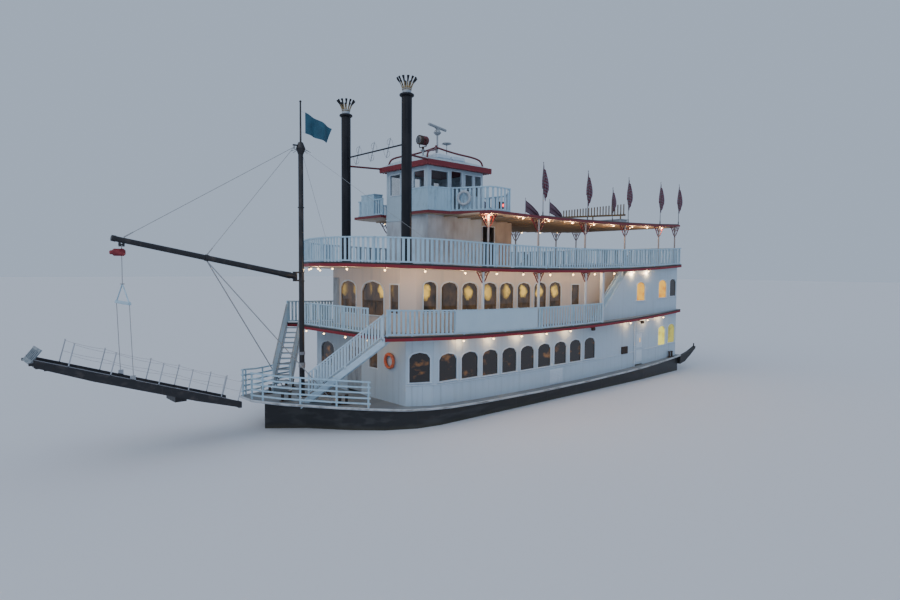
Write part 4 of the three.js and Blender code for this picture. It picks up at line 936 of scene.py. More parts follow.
places = picket_places(walk_ring, CANOPY, lambda x, y: y > -1 and x < 6.8 and not boarded(x, y))
finished(copies(picket(WALK_RAIL_HEIGHT), places), "walk_pickets", rail_finish)
places = picket_places(walk_ring, CANOPY, lambda x, y: y < -1 and not behind_locker(x, y))
finished(copies(picket(LOW_RAIL_HEIGHT), places), "walk_low_pickets", rail_finish)
places = picket_places(walk_ring, CANOPY, boarded, BOARD_PITCH)
finished(copies(picket(WALK_RAIL_HEIGHT, BOARD_WIDTH), places), "walk_boards", rail_finish)
WALK_SLANT = -66
walk_ring_buoy = life_ring((5.75, 2.9, 11.13), WALK_SLANT)
plastic_grey, place = new_finish("ring_grey", Roughness=0.6)
coat(plastic_grey, Base_Color=place.noise(9, detail=5).between((0.32, 0.36, 0.41, 1), (0.5, 0.54, 0.58, 1)))
finished(walk_ring_buoy, "walk_life_ring", plastic_grey)

# Banners. Blank weatherproof cloth, hemmed and laced by its eyelets along the second-deck railing.
BANNER_AFT, BANNER_FRONT, BANNER_LOW, BANNER_HIGH = 2.49, 7.9, 5.06, 6.0
BANNER_OUT = 4.684
SLACK, FOLD, SAG = 0.007, 0.01, 0.02
cloth_finish, place = new_finish("banner_cloth")
weave = place.noise(140, (1, 1, 1), 2) * 0.4 + place.noise(2.4, (0.6, 1, 1.6), 3)
coat(
    cloth_finish, Base_Color=place.noise(1.2, detail=5).between((0.44, 0.58, 0.68, 1), (0.54, 0.66, 0.75, 1)),
    Roughness=0.62, Normal=weave.bump(0.006))
for side, name in SIDE_NAMES:
    bpy.ops.mesh.primitive_grid_add(x_subdivisions=54, y_subdivisions=10, size=1)
    banner = bpy.context.object
    for vertex in banner.data.vertices:
        along, rise = vertex.co.x + 0.5, vertex.co.y + 0.5
        x = BANNER_AFT + along * (BANNER_FRONT - BANNER_AFT)
        slack = SLACK * math.sin(9 * math.pi * along + 3 * rise) + FOLD * math.sin(math.pi * rise)
        scallop = -SAG * abs(math.sin(8 * math.pi * along)) * max(0.0, 2 * rise - 1)
        z = BANNER_LOW + rise * (BANNER_HIGH - BANNER_LOW) + sheer(x) + scallop
        vertex.co = (x, side * (BANNER_OUT + slack), z)
    if side > 0:
        banner.data.flip_normals()
    bpy.ops.object.shade_smooth()
    finished(banner, f"banner_cloth_{name}", cloth_finish)
    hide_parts(f"banner_board_{name}")
tie = torus(0.052, 0.007, around=16, across=6, turn=(0, math.pi / 2, 0))
tie_xs = [BANNER_AFT + (BANNER_FRONT - BANNER_AFT) * i / 8 for i in range(9)]
ties = [shift(*on_sheer(x, side * 4.645, z)) for x in tie_xs for side in (1, -1) for z in (5.99, 5.065)]
finished(copies(tie, ties), "banner_ties", trim_finish)

# Stairs. Two steel flights with open treads from the gallery to the foredeck, each with deep stringers
# and picketed handrails, and two boarded flights aft up to the top deck.
stair_finish, place = new_finish("stair_paint")
tread = facing(place, 2).ramp(0.5, 0.6)
scraped = place.noise(6, detail=6).ramp(0.48, 0.72)
stringer_paint = (scraped * 0.3).between((0.46, 0.60, 0.71, 1), WALL_GREY)
tread_paint = scraped.between((0.2, 0.22, 0.24, 1), DECK_WORN)
coat(stair_finish, Base_Color=tread.between(stringer_paint, tread_paint), Roughness=tread * 0.2 + 0.42)
repaint(stair_finish, "aft_stair_port", "aft_stair_starboard")
FRONT_STAIR = Vector((10.8, 3.85, SECOND_DECK + sheer(10.8)))
STAIR_TURN = -52
STAIR_HALF = 0.4
STRINGER = 0.05
drop = FRONT_STAIR.z - (MAIN_DECK + main_sheer(12.99))
run = drop * 1.3
slope = drop / run
STEPS = 13


def sloped(x0, x1, low, high, y0, y1):
    """A bar along the slope of the front stair, with plumb ends."""
    piece = block((x0, y0, 0), (x1, y1, 1))
    for vertex in piece.data.vertices:
        vertex.co.z = (high if vertex.co.z > 0.5 else low) - slope * vertex.co.x
    return piece


flight = []
for y in (-STAIR_HALF, STAIR_HALF - STRINGER):
    flight.append(sloped(0.02, run - 0.06, -0.3, 0.0, y, y + STRINGER))
    flight.append(sloped(0.05, run - 0.365, 0.9, 0.96, y, y + STRINGER))
    flight.append(sloped(0.05, run - 0.365, 0.1, 0.14, y + 0.005, y + 0.045))
    for x in (0.095, run * 0.46, run - 0.4):
        low, high = -0.1 - slope * x, 0.93 - slope * x
        flight.append(block((x - 0.035, y, low), (x + 0.035, y + STRINGER, high), 0.005))
TREAD_HALF = STAIR_HALF - STRINGER
for i in range(1, STEPS):
    x = run * i / STEPS
    flight.append(block((x - 0.27, -TREAD_HALF, -slope * x - 0.045), (x, TREAD_HALF, -slope * x), 0.006))
spindle = block((-0.032, -0.012, 0.12), (0.032, 0.012, 0.92), 0.004)
gaps = 24
spindle_xs = [0.15 + (run - 0.56) * i / gaps for i in range(gaps)]
places = [shift(x, side * (STAIR_HALF - 0.025), -slope * x) for x in spindle_xs for side in (1, -1)]
port_stair = joined([*flight, copies(spindle, places)])
port_stair.data.transform(Matrix.Translation(FRONT_STAIR) @ turned(STAIR_TURN))
starboard_stair = copies(port_stair, [MIRROR], keep=True)
for stair, name in ((port_stair, "port"), (starboard_stair, "starboard")):
    finished(stair, f"open_stair_{name}", stair_finish)
    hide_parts(f"front_stair_{name}")

AFT_STAIR = Vector((-6.99, 3.625, TOP_DECK + sheer(-7.0)))
AFT_RUN = 3.25
aft_slope = (AFT_STAIR.z - SECOND_DECK - sheer(-3.7)) / AFT_RUN
aft_gaps = 22
aft_xs = [0.2 + (AFT_RUN - 0.7) * i / aft_gaps for i in range(aft_gaps)]
places = [Matrix.Translation(AFT_STAIR) @ shift(x, 0.305, -aft_slope * x) for x in aft_xs]
aft_pickets = copies(block((-0.03, -0.012, -0.05), (0.03, 0.012, 0.92), 0.004), places)
finished(copies(aft_pickets, BOTH), "aft_stair_pickets", rail_finish)
WING_LOW, WING_HIGH = Vector((-3.68, 4.06, 5.26)), Vector((-6.1, 4.06, 7.5))
wing_gaps = 22
wing_picket = block((-0.03, -0.012, -0.05), (0.03, 0.012, 0.62), 0.004)
places = [Matrix.Translation(WING_LOW.lerp(WING_HIGH, i / wing_gaps)) for i in range(wing_gaps)]
up_slope = Vector((0, 0, 0.62))
wing_rail = joined([
    copies(wing_picket, places), pipe([WING_LOW + up_slope, WING_HIGH + up_slope * 0.6], 0.03),
    pipe([WING_LOW + up_slope * 0.05, WING_HIGH + up_slope * 0.05], 0.03)])
finished(copies(wing_rail, BOTH), "wing_railings", rail_finish)

# Top deck. The same kind of gallery deck, on white posts that carry fretwork brackets of bent red bar.
# The level paints a dark shadow line along the top of the red edge.
top_finish = deck_finish("top_deck_paint", RED_TRIM, CREAM, POST_WHITE, TOP_UNDER, TOP_DECK)
repaint(top_finish, "top_deck")
bracket_red, place = new_finish("bracket_red")
coat(
    bracket_red, Base_Color=place.noise(7, detail=5).between((0.20, 0.012, 0.02, 1), (0.10, 0.010, 0.014, 1)),
    Roughness=0.45)


LONG_BAR = (0.08, -1.0), (0.34, -0.82), (0.6, -0.42), (1.0, -0.04)
SHORT_BAR = (0.08, -0.62), (0.2, -0.5), (0.3, -0.2), (0.42, -0.04)


def bracket(reach, fall):
    """A pair of bent bars with a ring in each corner, either side of a post head at the origin."""
    bars = []
    for side in (1, -1):
        for line, radius in ((LONG_BAR, 0.027), (SHORT_BAR, 0.02)):
            bars.append(pipe([(side * x * reach, 0, z * fall) for x, z in line], radius, kind="NURBS"))
        bars.append(pipe([(side * 0.08 * reach, 0, -0.05 * fall), (side * reach, 0, -0.05 * fall)], 0.02))
        bars.append(torus(
            0.17 * reach, 0.018, (side * 0.5 * reach, 0, -0.24 * fall), 16, 6, (math.pi / 2, 0, 0)))
    return joined(bars)


def brackets(name, reach, fall, posts):
    """The brackets of a row of posts and of the row across from it."""
    finished(copies(copies(bracket(reach, fall), posts), BOTH), name, bracket_red)


brackets("gallery_brackets", 0.4, 0.5, [shift(*on_sheer(x, 4.52, TOP_UNDER)) for x in (6.1, 2.25, -1.65)])
top_lamps = [on_sheer(x, 4.46, TOP_UNDER - BULB_DROP) for x in (7.13, 5.15, 3.31, 1.27, -0.64, -2.58, -4.49)]
top_lamps += [
    on_sheer(x, y, TOP_UNDER - BULB_DROP) for x, y in (
        (-6.9, 4.25), (-8.6, 4.25), (9.16, 4.2), (10.4, 3.1), (11.2, 1.5), (11.35, -0.6))]
lamp_row("top_deck", top_lamps, 24)

# Canopy. Boards on joists, coated in tan, with a red edge board, posts with branching brackets and a
# row of bulbs. On it stand a locker, the flag staffs and a row of steam whistles.
CANOPY_EDGE = (0.17, 0.022, 0.03, 1)
CANOPY_TAN = (0.62, 0.47, 0.34, 1)
CANOPY_POST = (0.40, 0.36, 0.35, 1)
canopy_finish = deck_finish("canopy_paint", CANOPY_EDGE, CANOPY_TAN, CANOPY_POST, CANOPY_UNDER)
repaint(canopy_finish, "canopy_roof")
joist_finish, place = new_finish("joist_tan")
joist_grain = place.noise(3, (1, 0.2, 1), 5)
coat(joist_finish, Base_Color=joist_grain.between((0.55, 0.41, 0.29, 1), (0.4, 0.29, 0.2, 1)), Roughness=0.6)
JOIST_PITCH = 0.9
joists = [shift(*on_sheer(-12.2 + JOIST_PITCH * i, 0, CANOPY_UNDER)) for i in range(21)]
joist = block((-0.03, -3.95, -0.07), (0.03, 3.95, 0.004), 0.006)
finished(copies(joist, joists), "canopy_joists", joist_finish)
brackets("canopy_brackets", 0.55, 0.62, [
    shift(*on_sheer(x, y, CANOPY_UNDER)) for x, y in (
        (5.1, 3.85), (1.9, 4.19), (-2.02, 4.19), (-5.94, 4.19), (-10.16, 4.01), (-12.45, 3.9))])
CANOPY_BULB_DROP = 0.07
canopy_lamps = [on_sheer(x, 4.25, CANOPY_UNDER - CANOPY_BULB_DROP) for x in (3.12, 1.2, -0.78, -2.74, -4.65)]
canopy_lamps += [
    on_sheer(x, y, CANOPY_UNDER - CANOPY_BULB_DROP)
    for x, y in ((5.2, 4.0), (-6.63, 4.24), (-8.51, 4.15), (-10.42, 4.06))]
lamp_row("canopy", canopy_lamps, 30)

locker = [block((6.4, -3.73, 11.655), (6.985, -2.52, 11.7), 0.01)]
locker += [block((6.955, -3.66 + 0.16 * i, 10.62), (6.972, -3.52 + 0.16 * i, 11.64), 0.004) for i in range(7)]
finished(joined(locker), "roof_locker_boards", rail_finish)
chest = [block((-7.6, 1.0, CANOPY + 0.1), (-6.9, 3.3, CANOPY + 0.42), 0.02)]
chest.append(block((-7.63, 0.97, CANOPY + 0.41), (-6.87, 3.33, CANOPY + 0.45), 0.01))
finished(joined(chest), "organ_chest", door_finish)
brass_finish, place = new_finish("organ_brass", Metallic=0.85)
tarnish = place.noise(9, detail=5).ramp(0.4, 0.7)
coat(
    brass_finish, Base_Color=tarnish.between((0.24, 0.15, 0.07, 1), (0.08, 0.06, 0.045, 1)),
    Roughness=tarnish * 0.3 + 0.3)
repaint(brass_finish, "whistle_organ")

# Flags. Timber staffs on the canopy's edge carry plain striped flags with a dark corner. The near row hangs
# limp down its staffs, gathered by its own weight, and the three of the far row droop aft.
TALL_STAFF, SHORT_STAFF, FAR_STAFF = 13.1, 12.39, 12.65
PORT_STAFFS = [
    (x, top + sheer(x)) for x, top in (
        (1.58, TALL_STAFF), (-2.2, TALL_STAFF), (-4.6, SHORT_STAFF), (-6.25, TALL_STAFF),
        (-10.3, TALL_STAFF), (-12.95, TALL_STAFF))]
STARBOARD_STAFFS = [(x, FAR_STAFF + sheer(x)) for x in (-2.2, -6.9, -9.4)]
staff_finish, place = new_finish("staff_grey")
staff_grain = place.noise(8, (1, 1, 0.1))
coat(
    staff_finish, Base_Color=staff_grain.between((0.05, 0.045, 0.05, 1), (0.16, 0.13, 0.13, 1)),
    Roughness=0.5)


def staff_line(x):
    """How far from the middle the staffs stand."""
    return 4.19 - 0.3 * max(0, (-6.5 - x) / 6.1)


for (side, name), row_of_staffs in zip(SIDE_NAMES, (PORT_STAFFS, STARBOARD_STAFFS)):
    foot_rail = [on_sheer(x, side * staff_line(x), CANOPY + 0.03) for x in (-12.96, -10, -6.5, -2, 1.7)]
    pieces = [pipe(foot_rail, 0.025)]
    for x, top in row_of_staffs:
        y, foot = side * staff_line(x), CANOPY + sheer(x)
        pieces += [
            rod((x, y, foot + 0.002), (x, y, top), 0.019, 0.012),
            rod((x, y, top - 0.01), (x, y, top + 0.04), 0.03, 0.01),
            rod((x, y, foot + 0.002), (x, y, foot + 0.22), 0.032)]
    row = joined(pieces)
    finished(row, f"flag_staffs_{name}", staff_finish)
    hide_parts(f"flag_row_{name}")

flag_finish, place = new_finish("striped_cloth")
across = Signal(flag_finish.node_tree, flag_finish.node_tree.nodes["Texture Coordinate"].outputs["UV"])
stripes = (across.axis(1) * 6.5) % 1.0 < 0.5
coat(
    flag_finish, Base_Color=stripes.between((0.16, 0.14, 0.18, 1), (0.15, 0.035, 0.06, 1)), Roughness=0.8,
    Normal=place.noise(90, detail=2).bump(0.002))


def flag(name, shape):
    """A flag of a flat size, each point of it placed by a shape from its fly and its rise, 0 to 1."""
    bpy.ops.mesh.primitive_grid_add(x_subdivisions=64, y_subdivisions=20, size=1)
    cloth = bpy.context.object
    for vertex in cloth.data.vertices:
        vertex.co = shape(vertex.co.x + 0.5, vertex.co.y + 0.5)
    bpy.ops.object.shade_smooth()
    finished(cloth, name, flag_finish)


def limp(x, top, flat, swing):
    """The shape of a flag that hangs in six folds, widest below its middle."""
    hoist, fly_length = flat
    fall = 0.56 * fly_length

    def place_of(fly, rise):
        drop = (hoist * (1 - rise) + fall * fly ** 1.1) / (hoist + fall)
        girth = 0.22 + 0.78 * math.sin(math.pi * min(1, drop / 0.98) ** 1.25) ** 1.2
        out = (0.12 * math.sin(0.9 * math.pi * fly) + 0.07 * math.cos(16 * fly)) * girth + swing * drop * drop
        fold = 0.1 * fly_length * math.sin(6.4 * math.pi * fly) * min(1, 6 * fly) * girth
        return x - 0.03 - out * min(1, 5 * fly), staff_line(x) + fold, top - 0.07 - (hoist + fall) * drop

    return place_of


def drooping(x, top):
    """The shape of a flag that hangs aft of its staff, its fly gathered in folds."""
    upper = [Vector(at) for at in ((0, -0.13), (-0.7, -0.45), (-1.35, -0.85), (-1.65, -1.25))]

    def place_of(fly, rise):
        i = min(2, int(fly * 3))
        high = upper[i].lerp(upper[i + 1], fly * 3 - i)
        low = Vector((0, -0.94)).lerp(Vector((-1.56, -1.36)), fly)
        at = low.lerp(high, rise)
        fold = 0.095 * math.sqrt(fly) * math.sin(4 * math.pi * rise)
        return x - 0.022 + at.x, -staff_line(x) + fold, top + at.y

    return place_of


WHOLE_FLAG, SHORT_FLAG, FAR_FLAG = (1.0, 1.5), (0.76, 1.1), (0.81, 1.85)
for i, (x, top) in enumerate(PORT_STAFFS):
    size = SHORT_FLAG if i == 2 else WHOLE_FLAG
    flag(f"limp_flag_port_{i + 1}", limp(x, top, size, 0.14 if i == 0 else 0.03))
for i, (x, top) in enumerate(STARBOARD_STAFFS):
    flag(f"drooping_flag_{i + 1}", drooping(x, top))

jack_finish, place = new_finish("teal_cloth")
faded_teal = place.noise(3, detail=5).ramp(0.3, 0.75)
coat(
    jack_finish, Base_Color=faded_teal.between((0.018, 0.075, 0.125, 1), (0.04, 0.135, 0.2, 1)),
    Roughness=0.75, Normal=place.noise(90, detail=2).bump(0.002))
JACK_HOIST, JACK_FLY = 0.88, 1.4
JACK_X, JACK_FOOT = 12.28, 13.53
bpy.ops.mesh.primitive_grid_add(x_subdivisions=40, y_subdivisions=14, size=1)
jack = bpy.context.object
for vertex in jack.data.vertices:
    fly, rise = vertex.co.x + 0.5, vertex.co.y + 0.5
    wave = 0.09 * math.sin(3.4 * math.pi * fly + 1.4 * rise) * min(1, 2.5 * fly)
    droop = (0.24 + 0.24 * rise) * fly
    z = JACK_FOOT + JACK_HOIST * rise - droop - 0.1 * wave
    vertex.co = (JACK_X - (1.08 + 0.24 * rise) * fly, wave, z)
bpy.ops.object.shade_smooth()
finished(jack, "teal_jack", jack_finish)
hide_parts("jack_flag")
toggles = [pipe([(JACK_X, 0, z), (12.46, 0, z + 0.02)], 0.008) for z in (13.55, 14.39)]
finished(joined(toggles), "jack_toggles", trim_finish)

# Cabin and pilothouse. Boarded walls in white, square windows on every side with clear glass, and a low
# hipped roof with a scalloped red edge board under a crown of bent pipe.
cabin_finish = wall_finish("cabin_white", (0.43, 0.55, 0.64, 1), 0.6)
repaint(
    cabin_finish, "pilothouse_port", "pilothouse_starboard", "pilothouse_front", "pilothouse_aft",
    "pilothouse_door")
lower_cabin, place = new_finish("cabin_tan")
boards = abs((place.axis(0) % 0.6) - 0.3).ramp(0.008, 0.002)
near_doorway = place.axis(0) < 3.25
grime = place.noise(1.6, (1, 1, 0.4), 5).ramp(0.42, 0.75)
white_boards = grime.between((0.5, 0.56, 0.62, 1), (0.3, 0.3, 0.32, 1))
tan_boards = grime.between((0.42, 0.33, 0.27, 1), (0.26, 0.2, 0.17, 1))
coat(
    lower_cabin, Roughness=0.5, Normal=boards.bump(0.004),
    Base_Color=near_doorway.between(white_boards, tan_boards))
repaint(lower_cabin, "tower_cabin")
CABIN_FRONT, CABIN_HALF = 6.85, 1.6
DOOR_CASING, WINDOW_CASING = 0.04, 0.035
lower_doorways = [
    (shift(*on_sheer(2.76, side * CABIN_HALF, TOP_DECK + 0.01)) @ turned(turn), 0.86, 2.1)
    for side, turn in SIDE_TURNS]
cabin_casings = fitted(lower_doorways, lambda w, h: square_frame(w, h, DOOR_CASING))
finished(cabin_casings, "cabin_door_casings", trim_finish)
PILOT_SILL, PILOT_HEAD = 11.48, 12.48
PILOT_LIGHT = PILOT_HEAD - PILOT_SILL
pilot_windows = [
    (shift(x, side * CABIN_HALF, PILOT_SILL) @ turned(turn), width, PILOT_LIGHT)
    for x, width in ((3.56, 0.42), (4.19, 0.5), (6.12, 1.06)) for side, turn in SIDE_TURNS]
pilot_windows += [
    (shift(CABIN_FRONT, y, PILOT_SILL) @ turned(AHEAD), 0.8, PILOT_LIGHT) for y in (-0.88, 0.03, 0.96)]
pilot_frames = fitted(pilot_windows, lambda w, h: square_frame(w, h, WINDOW_CASING))
finished(pilot_frames, "pilothouse_window_frames", trim_finish)
doorways = [(shift(5.03, side * CABIN_HALF, 10.575) @ turned(turn), 0.69, 1.985) for side, turn in SIDE_TURNS]
door_casings = fitted(doorways, lambda w, h: square_frame(w, h, DOOR_CASING))
finished(door_casings, "pilothouse_door_casings", trim_finish)
front_board = block((CABIN_FRONT + 0.003, -1.59, 10.2), (CABIN_FRONT + 0.02, -0.07, 10.8), 0.004)
finished(front_board, "pilothouse_front_board", cabin_finish)
clear_glass, place = new_finish("clear_glass", Roughness=0.05, Specular_IOR_Level=0.7)
smear = place.noise(2, detail=4)
coat(clear_glass, Base_Color=(0.05, 0.06, 0.07, 1), Alpha=smear * 0.08 + 0.1)
finished(fitted(pilot_windows, square_pane), "pilothouse_panes", clear_glass)
desk = joined([
    block((6.1, -1.1, CANOPY + 0.1), (6.55, 1.1, 11.5), 0.03),
    block((6.0, -1.15, 11.48), (6.6, 1.15, 11.54), 0.01)])
finished(desk, "steering_desk", timber_finish)

ROOF_AFT, ROOF_FRONT, ROOF_HALF = 2.85, 7.1, 1.9
EAVE, FASCIA, ROOF_CROWN = 12.68, 12.92, 13.40
ROOF_RED = (0.18, 0.011, 0.022, 1)
bpy.ops.mesh.primitive_cube_add(size=1)
roof = bpy.context.object
roof.scale = (ROOF_FRONT - ROOF_AFT - 0.02, 2 * ROOF_HALF - 0.02, FASCIA - EAVE)
roof.location = ((ROOF_AFT + ROOF_FRONT) / 2, 0, (EAVE + FASCIA) / 2)
still(roof)
pick(roof, "FACE", lambda at: at.z > FASCIA - 0.01)
bpy.ops.mesh.inset(thickness=0.05)
bpy.ops.mesh.extrude_region_move(TRANSFORM_OT_translate={"value": (0, 0, 0.22)})
bpy.ops.transform.resize(value=(0.84, 0.7, 1))
bpy.ops.mesh.extrude_region_move(TRANSFORM_OT_translate={"value": (0, 0, ROOF_CROWN - FASCIA - 0.22)})
bpy.ops.transform.resize(value=(0.62, 0.42, 1))
done()
roof_slopes, place = new_finish("roof_grey")
seams = abs((place.axis(0) % 0.6) - 0.3).ramp(0.012, 0.002)
upper = (place.axis(2) > FASCIA + 0.005)
weathered = place.noise(2.5, detail=6).ramp(0.45, 0.7)
roof_grey = weathered.between((0.44, 0.54, 0.60, 1), (0.30, 0.37, 0.42, 1))
coat(
    roof_slopes, Base_Color=upper.between(ROOF_RED, roof_grey), Roughness=0.5,
    Normal=(seams * upper * 0.8).bump(0.01))
finished(roof, "pilothouse_roof_shell", roof_slopes)
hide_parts("pilothouse_roof")
roof_lights = [
    block((x, 0.55, ROOF_CROWN - 0.2), (x + 0.85, 1.15, ROOF_CROWN + 0.04), 0.05) for x in (4.0, 5.0)]
finished(copies(joined(roof_lights), BOTH), "roof_lights", trim_finish)

bpy.ops.mesh.primitive_circle_add(vertices=14, radius=0.075, fill_type="NGON", rotation=(-math.pi / 2, 0, 0))
scallop = thick(still(bpy.context.object), 0.018)
pick(scallop, "VERT", lambda at: at.z > 0.001)
bpy.ops.transform.resize(value=(1, 1, 0.1), center_override=(0, 0, 0))
done()
roof_ring = drawn_in(all_round([(ROOF_AFT, ROOF_HALF), (ROOF_FRONT, ROOF_HALF)]), 0.02)
scallops = []
for start, end in zip(roof_ring, roof_ring[1:] + roof_ring[:1]):
    way = end - start
    count = round(way.length / 0.155)
    scallops += [
        Matrix.Translation((*(start + way * (i + 0.5) / count), EAVE + 0.045))
        @ turned(math.degrees(math.atan2(way.y, way.x))) for i in range(count)]
trim_red, place = new_finish("trim_red")
faded = place.noise(5, detail=5).ramp(0.45, 0.75)
coat(trim_red, Base_Color=faded.between(ROOF_RED, (0.36, 0.05, 0.055, 1)), Roughness=0.42)
finished(copies(scallop, scallops), "roof_scallops", trim_red)

CROWN = Vector((4.95, 0, 13.98))
hoops = []
for reach in (1.85, -1.85):
    for side in (1, -1):
        hoops.append(pipe([
            (CROWN.x + reach, side * 1.5, FASCIA - 0.02), (CROWN.x + reach, side * 1.48, 13.24),
            (CROWN.x + reach * 0.82, side * 1.3, 13.46), (CROWN.x + reach * 0.31, side * 0.62, 13.67), CROWN],
            0.046, kind="NURBS"))
hoops.append(rod(CROWN + Vector((0, 0, -0.06)), CROWN + Vector((0, 0, 0.1)), 0.08, 0.05, edge=0.01))
hoop_red, place = new_finish("hoop_red")
coat(
    hoop_red, Base_Color=place.noise(5).between((0.15, 0.012, 0.02, 1), (0.08, 0.012, 0.018, 1)),
    Roughness=0.4)
finished(joined(hoops), "roof_hoops", hoop_red)

RADAR_X = 4.87
LIGHT = Vector((6.1, 0.35, 14.1))
radar_mast = [
    rod((RADAR_X, 0, ROOF_CROWN - 0.04), (RADAR_X, 0, 14.74), 0.045),
    rod((RADAR_X, 0, 14.6), (RADAR_X, 0, 14.72), 0.1, 0.21, edge=0.01),
    rod((RADAR_X, 0, 14.71), (RADAR_X, 0, 14.855), 0.19, 0.12, edge=0.015)]
DISH_X, DISH_Y = 4.5, 0.3
dish = [
    rod((DISH_X, DISH_Y, 13.25), (DISH_X, DISH_Y, 14.12), 0.022),
    rod((DISH_X, DISH_Y, 14.1), (DISH_X, DISH_Y, 14.16), 0.07, 0.25, 24),
    rod((DISH_X, DISH_Y, 14.16), (DISH_X, DISH_Y, 14.22), 0.25, 0.2, 24, edge=0.012)]
finial = [
    rod((3.0, 0, 12.9), (3.0, 0, 13.5), 0.02),
    rod((3.0, 0, 13.4), (3.0, 0, 13.62), 0.06, 0.03, edge=0.01)]
light_post = [
    rod((LIGHT.x, LIGHT.y, 13.1), (LIGHT.x, LIGHT.y, 13.62), 0.05),
    rod((LIGHT.x, LIGHT.y, 13.6), (LIGHT.x, LIGHT.y, 13.638), 0.13, edge=0.008)]
steel_finish, place = new_finish("galvanised")
coat(
    steel_finish, Base_Color=place.noise(11, detail=4).between((0.28, 0.31, 0.34, 1), (0.42, 0.45, 0.48, 1)),
    Metallic=0.5, Roughness=0.45)
instruments = joined([*radar_mast, *dish, *finial, *light_post])
finished(instruments, "roof_instruments", steel_finish)

scanner = joined([
    rod((0, 0, 14.862), (0, 0, 14.95), 0.075, 0.06, edge=0.01),
    block((-0.85, -0.07, 14.925), (0.85, 0.07, 15.05), 0.035),
    block((-0.2, -0.05, 14.9), (0.2, 0.05, 14.945), 0.01)])
scanner.data.transform(shift(RADAR_X, 0, 0) @ turned(18))
finished(scanner, "radar_bar", steel_finish, "radar")
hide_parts("radar_scanner")

DRUM_RADIUS = 0.215


def lamp_rod(start, end, radius, tip=None, sides=12, edge=0.0):
    """A round part of the searchlight, from its middle."""
    return rod(LIGHT + Vector(start), LIGHT + Vector(end), radius, tip, sides, edge)


drum = [lamp_rod((-0.2, 0, 0), (0.1, 0, 0), DRUM_RADIUS, sides=28)]
for x in (-0.16, -0.04, 0.08):
    drum.append(torus(DRUM_RADIUS, 0.012, LIGHT + Vector((x, 0, 0)), 28, 8, (0, math.pi / 2, 0)))
finished(joined(drum), "searchlight_drum", hoop_red, "searchlight")
back = joined([
    lamp_rod((-0.26, 0, 0), (-0.19, 0, 0), 0.17, DRUM_RADIUS, 28, edge=0.01),
    lamp_rod((-0.29, 0, 0), (-0.25, 0, 0), 0.07, 0.1, 20, edge=0.008)])
finished(back, "searchlight_back", steel_finish, "searchlight")
fork = [
    (0, -0.285, 0.03), (0, -0.285, -0.2), (0, -0.24, -0.32), (0, 0.24, -0.32), (0, 0.285, -0.2),
    (0, 0.285, 0.03)]
yoke = joined([
    lamp_rod((0, 0, -0.455), (0, 0, -0.3), 0.06, edge=0.01), pipe([LIGHT + Vector(at) for at in fork], 0.024),
    lamp_rod((0, -0.3, 0), (0, -0.2, 0), 0.045, edge=0.008),
    lamp_rod((0, 0.2, 0), (0, 0.3, 0), 0.045, edge=0.008),
    lamp_rod((0.09, 0, 0), (0.26, 0, 0), 0.225, 0.23, 28, edge=0.01)])
finished(yoke, "searchlight_yoke", iron_finish, "searchlight")
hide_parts("searchlight")
lens_finish, place = new_finish("lens_glass", Roughness=0.05, Specular_IOR_Level=0.8)
coat(lens_finish, Base_Color=place.noise(20).between((0.03, 0.035, 0.04, 1), (0.1, 0.11, 0.12, 1)))
bpy.ops.mesh.primitive_uv_sphere_add(
    segments=24, ring_count=10, radius=0.2, location=LIGHT + Vector((0.245, 0, 0)),
    rotation=(0, math.pi / 2, 0), scale=(1, 1, 0.2))
lens = still(bpy.context.object)
bpy.ops.object.shade_smooth()
finished(lens, "searchlight_lens", lens_finish, "searchlight")

light_box = joined([
    block((2.5, 2.31, 10.9), (2.78, 2.5, 11.22), 0.02), block((2.3, 2.3, 11.18), (2.9, 2.34, 11.26), 0.01)])
finished(light_box, "side_light_box", iron_finish)
bpy.ops.mesh.primitive_uv_sphere_add(segments=14, ring_count=8, radius=0.07, location=(2.64, 2.52, 11.06))
red_lamp = still(bpy.context.object)
bpy.ops.object.shade_smooth()
red_glow, place = new_finish("red_glow", Emission_Strength=5.0)
coat(
    red_glow, Base_Color=place.noise(9).between((0.5, 0.01, 0.01, 1), (0.6, 0.02, 0.02, 1)),
    Emission_Color=(1.0, 0.03, 0.03, 1), Roughness=0.2)
finished(red_lamp, "side_light_lens", red_glow)

# Stacks. Rolled steel pipes painted black, each with a rolled collar, a pale band and a crown of cut
# petals that spread outwards, gilded between dark ones. A bar with scrollwork ties them together.
STACK_X, STACK_Y = 8.73, 2.4
STACK_RADIUS = 0.228
COLLAR = 15.32
stack_finish, place = new_finish("stack_black", Specular_IOR_Level=0.25)
soot = place.noise(1.8, (1, 1, 0.4), 6).ramp(0.45, 0.75)
ring_seam = abs((place.axis(2) % 1.5) - 0.75).ramp(0.012, 0.002)
coat(
    stack_finish, Base_Color=soot.between((0.008, 0.009, 0.014, 1), (0.025, 0.025, 0.03, 1)),
    Roughness=soot * 0.25 + 0.32, Normal=(ring_seam + place.noise(0.9) * 0.5).bump(0.008))
band_finish, place = new_finish("band_grey")
coat(
    band_finish, Base_Color=place.noise(6).between((0.4, 0.45, 0.5, 1), (0.28, 0.31, 0.35, 1)),
    Roughness=0.4, Metallic=0.3)
gilt_finish, place = new_finish("petal_gilt", Metallic=0.6)
dull = place.noise(14, detail=5).ramp(0.4, 0.7)
gilt = dull.between((0.34, 0.25, 0.12, 1), (0.12, 0.09, 0.06, 1))
coat(
    gilt_finish, Base_Color=(place.axis(2) > COLLAR + 0.5).between(gilt, (0.02, 0.02, 0.024, 1)),
    Roughness=dull * 0.25 + 0.35)


def round_torus(major, minor, at, around=36):
    """A ring of round bar, smooth all round."""
    piece = torus(major, minor, at, around)
    bpy.ops.object.shade_smooth()
    return piece


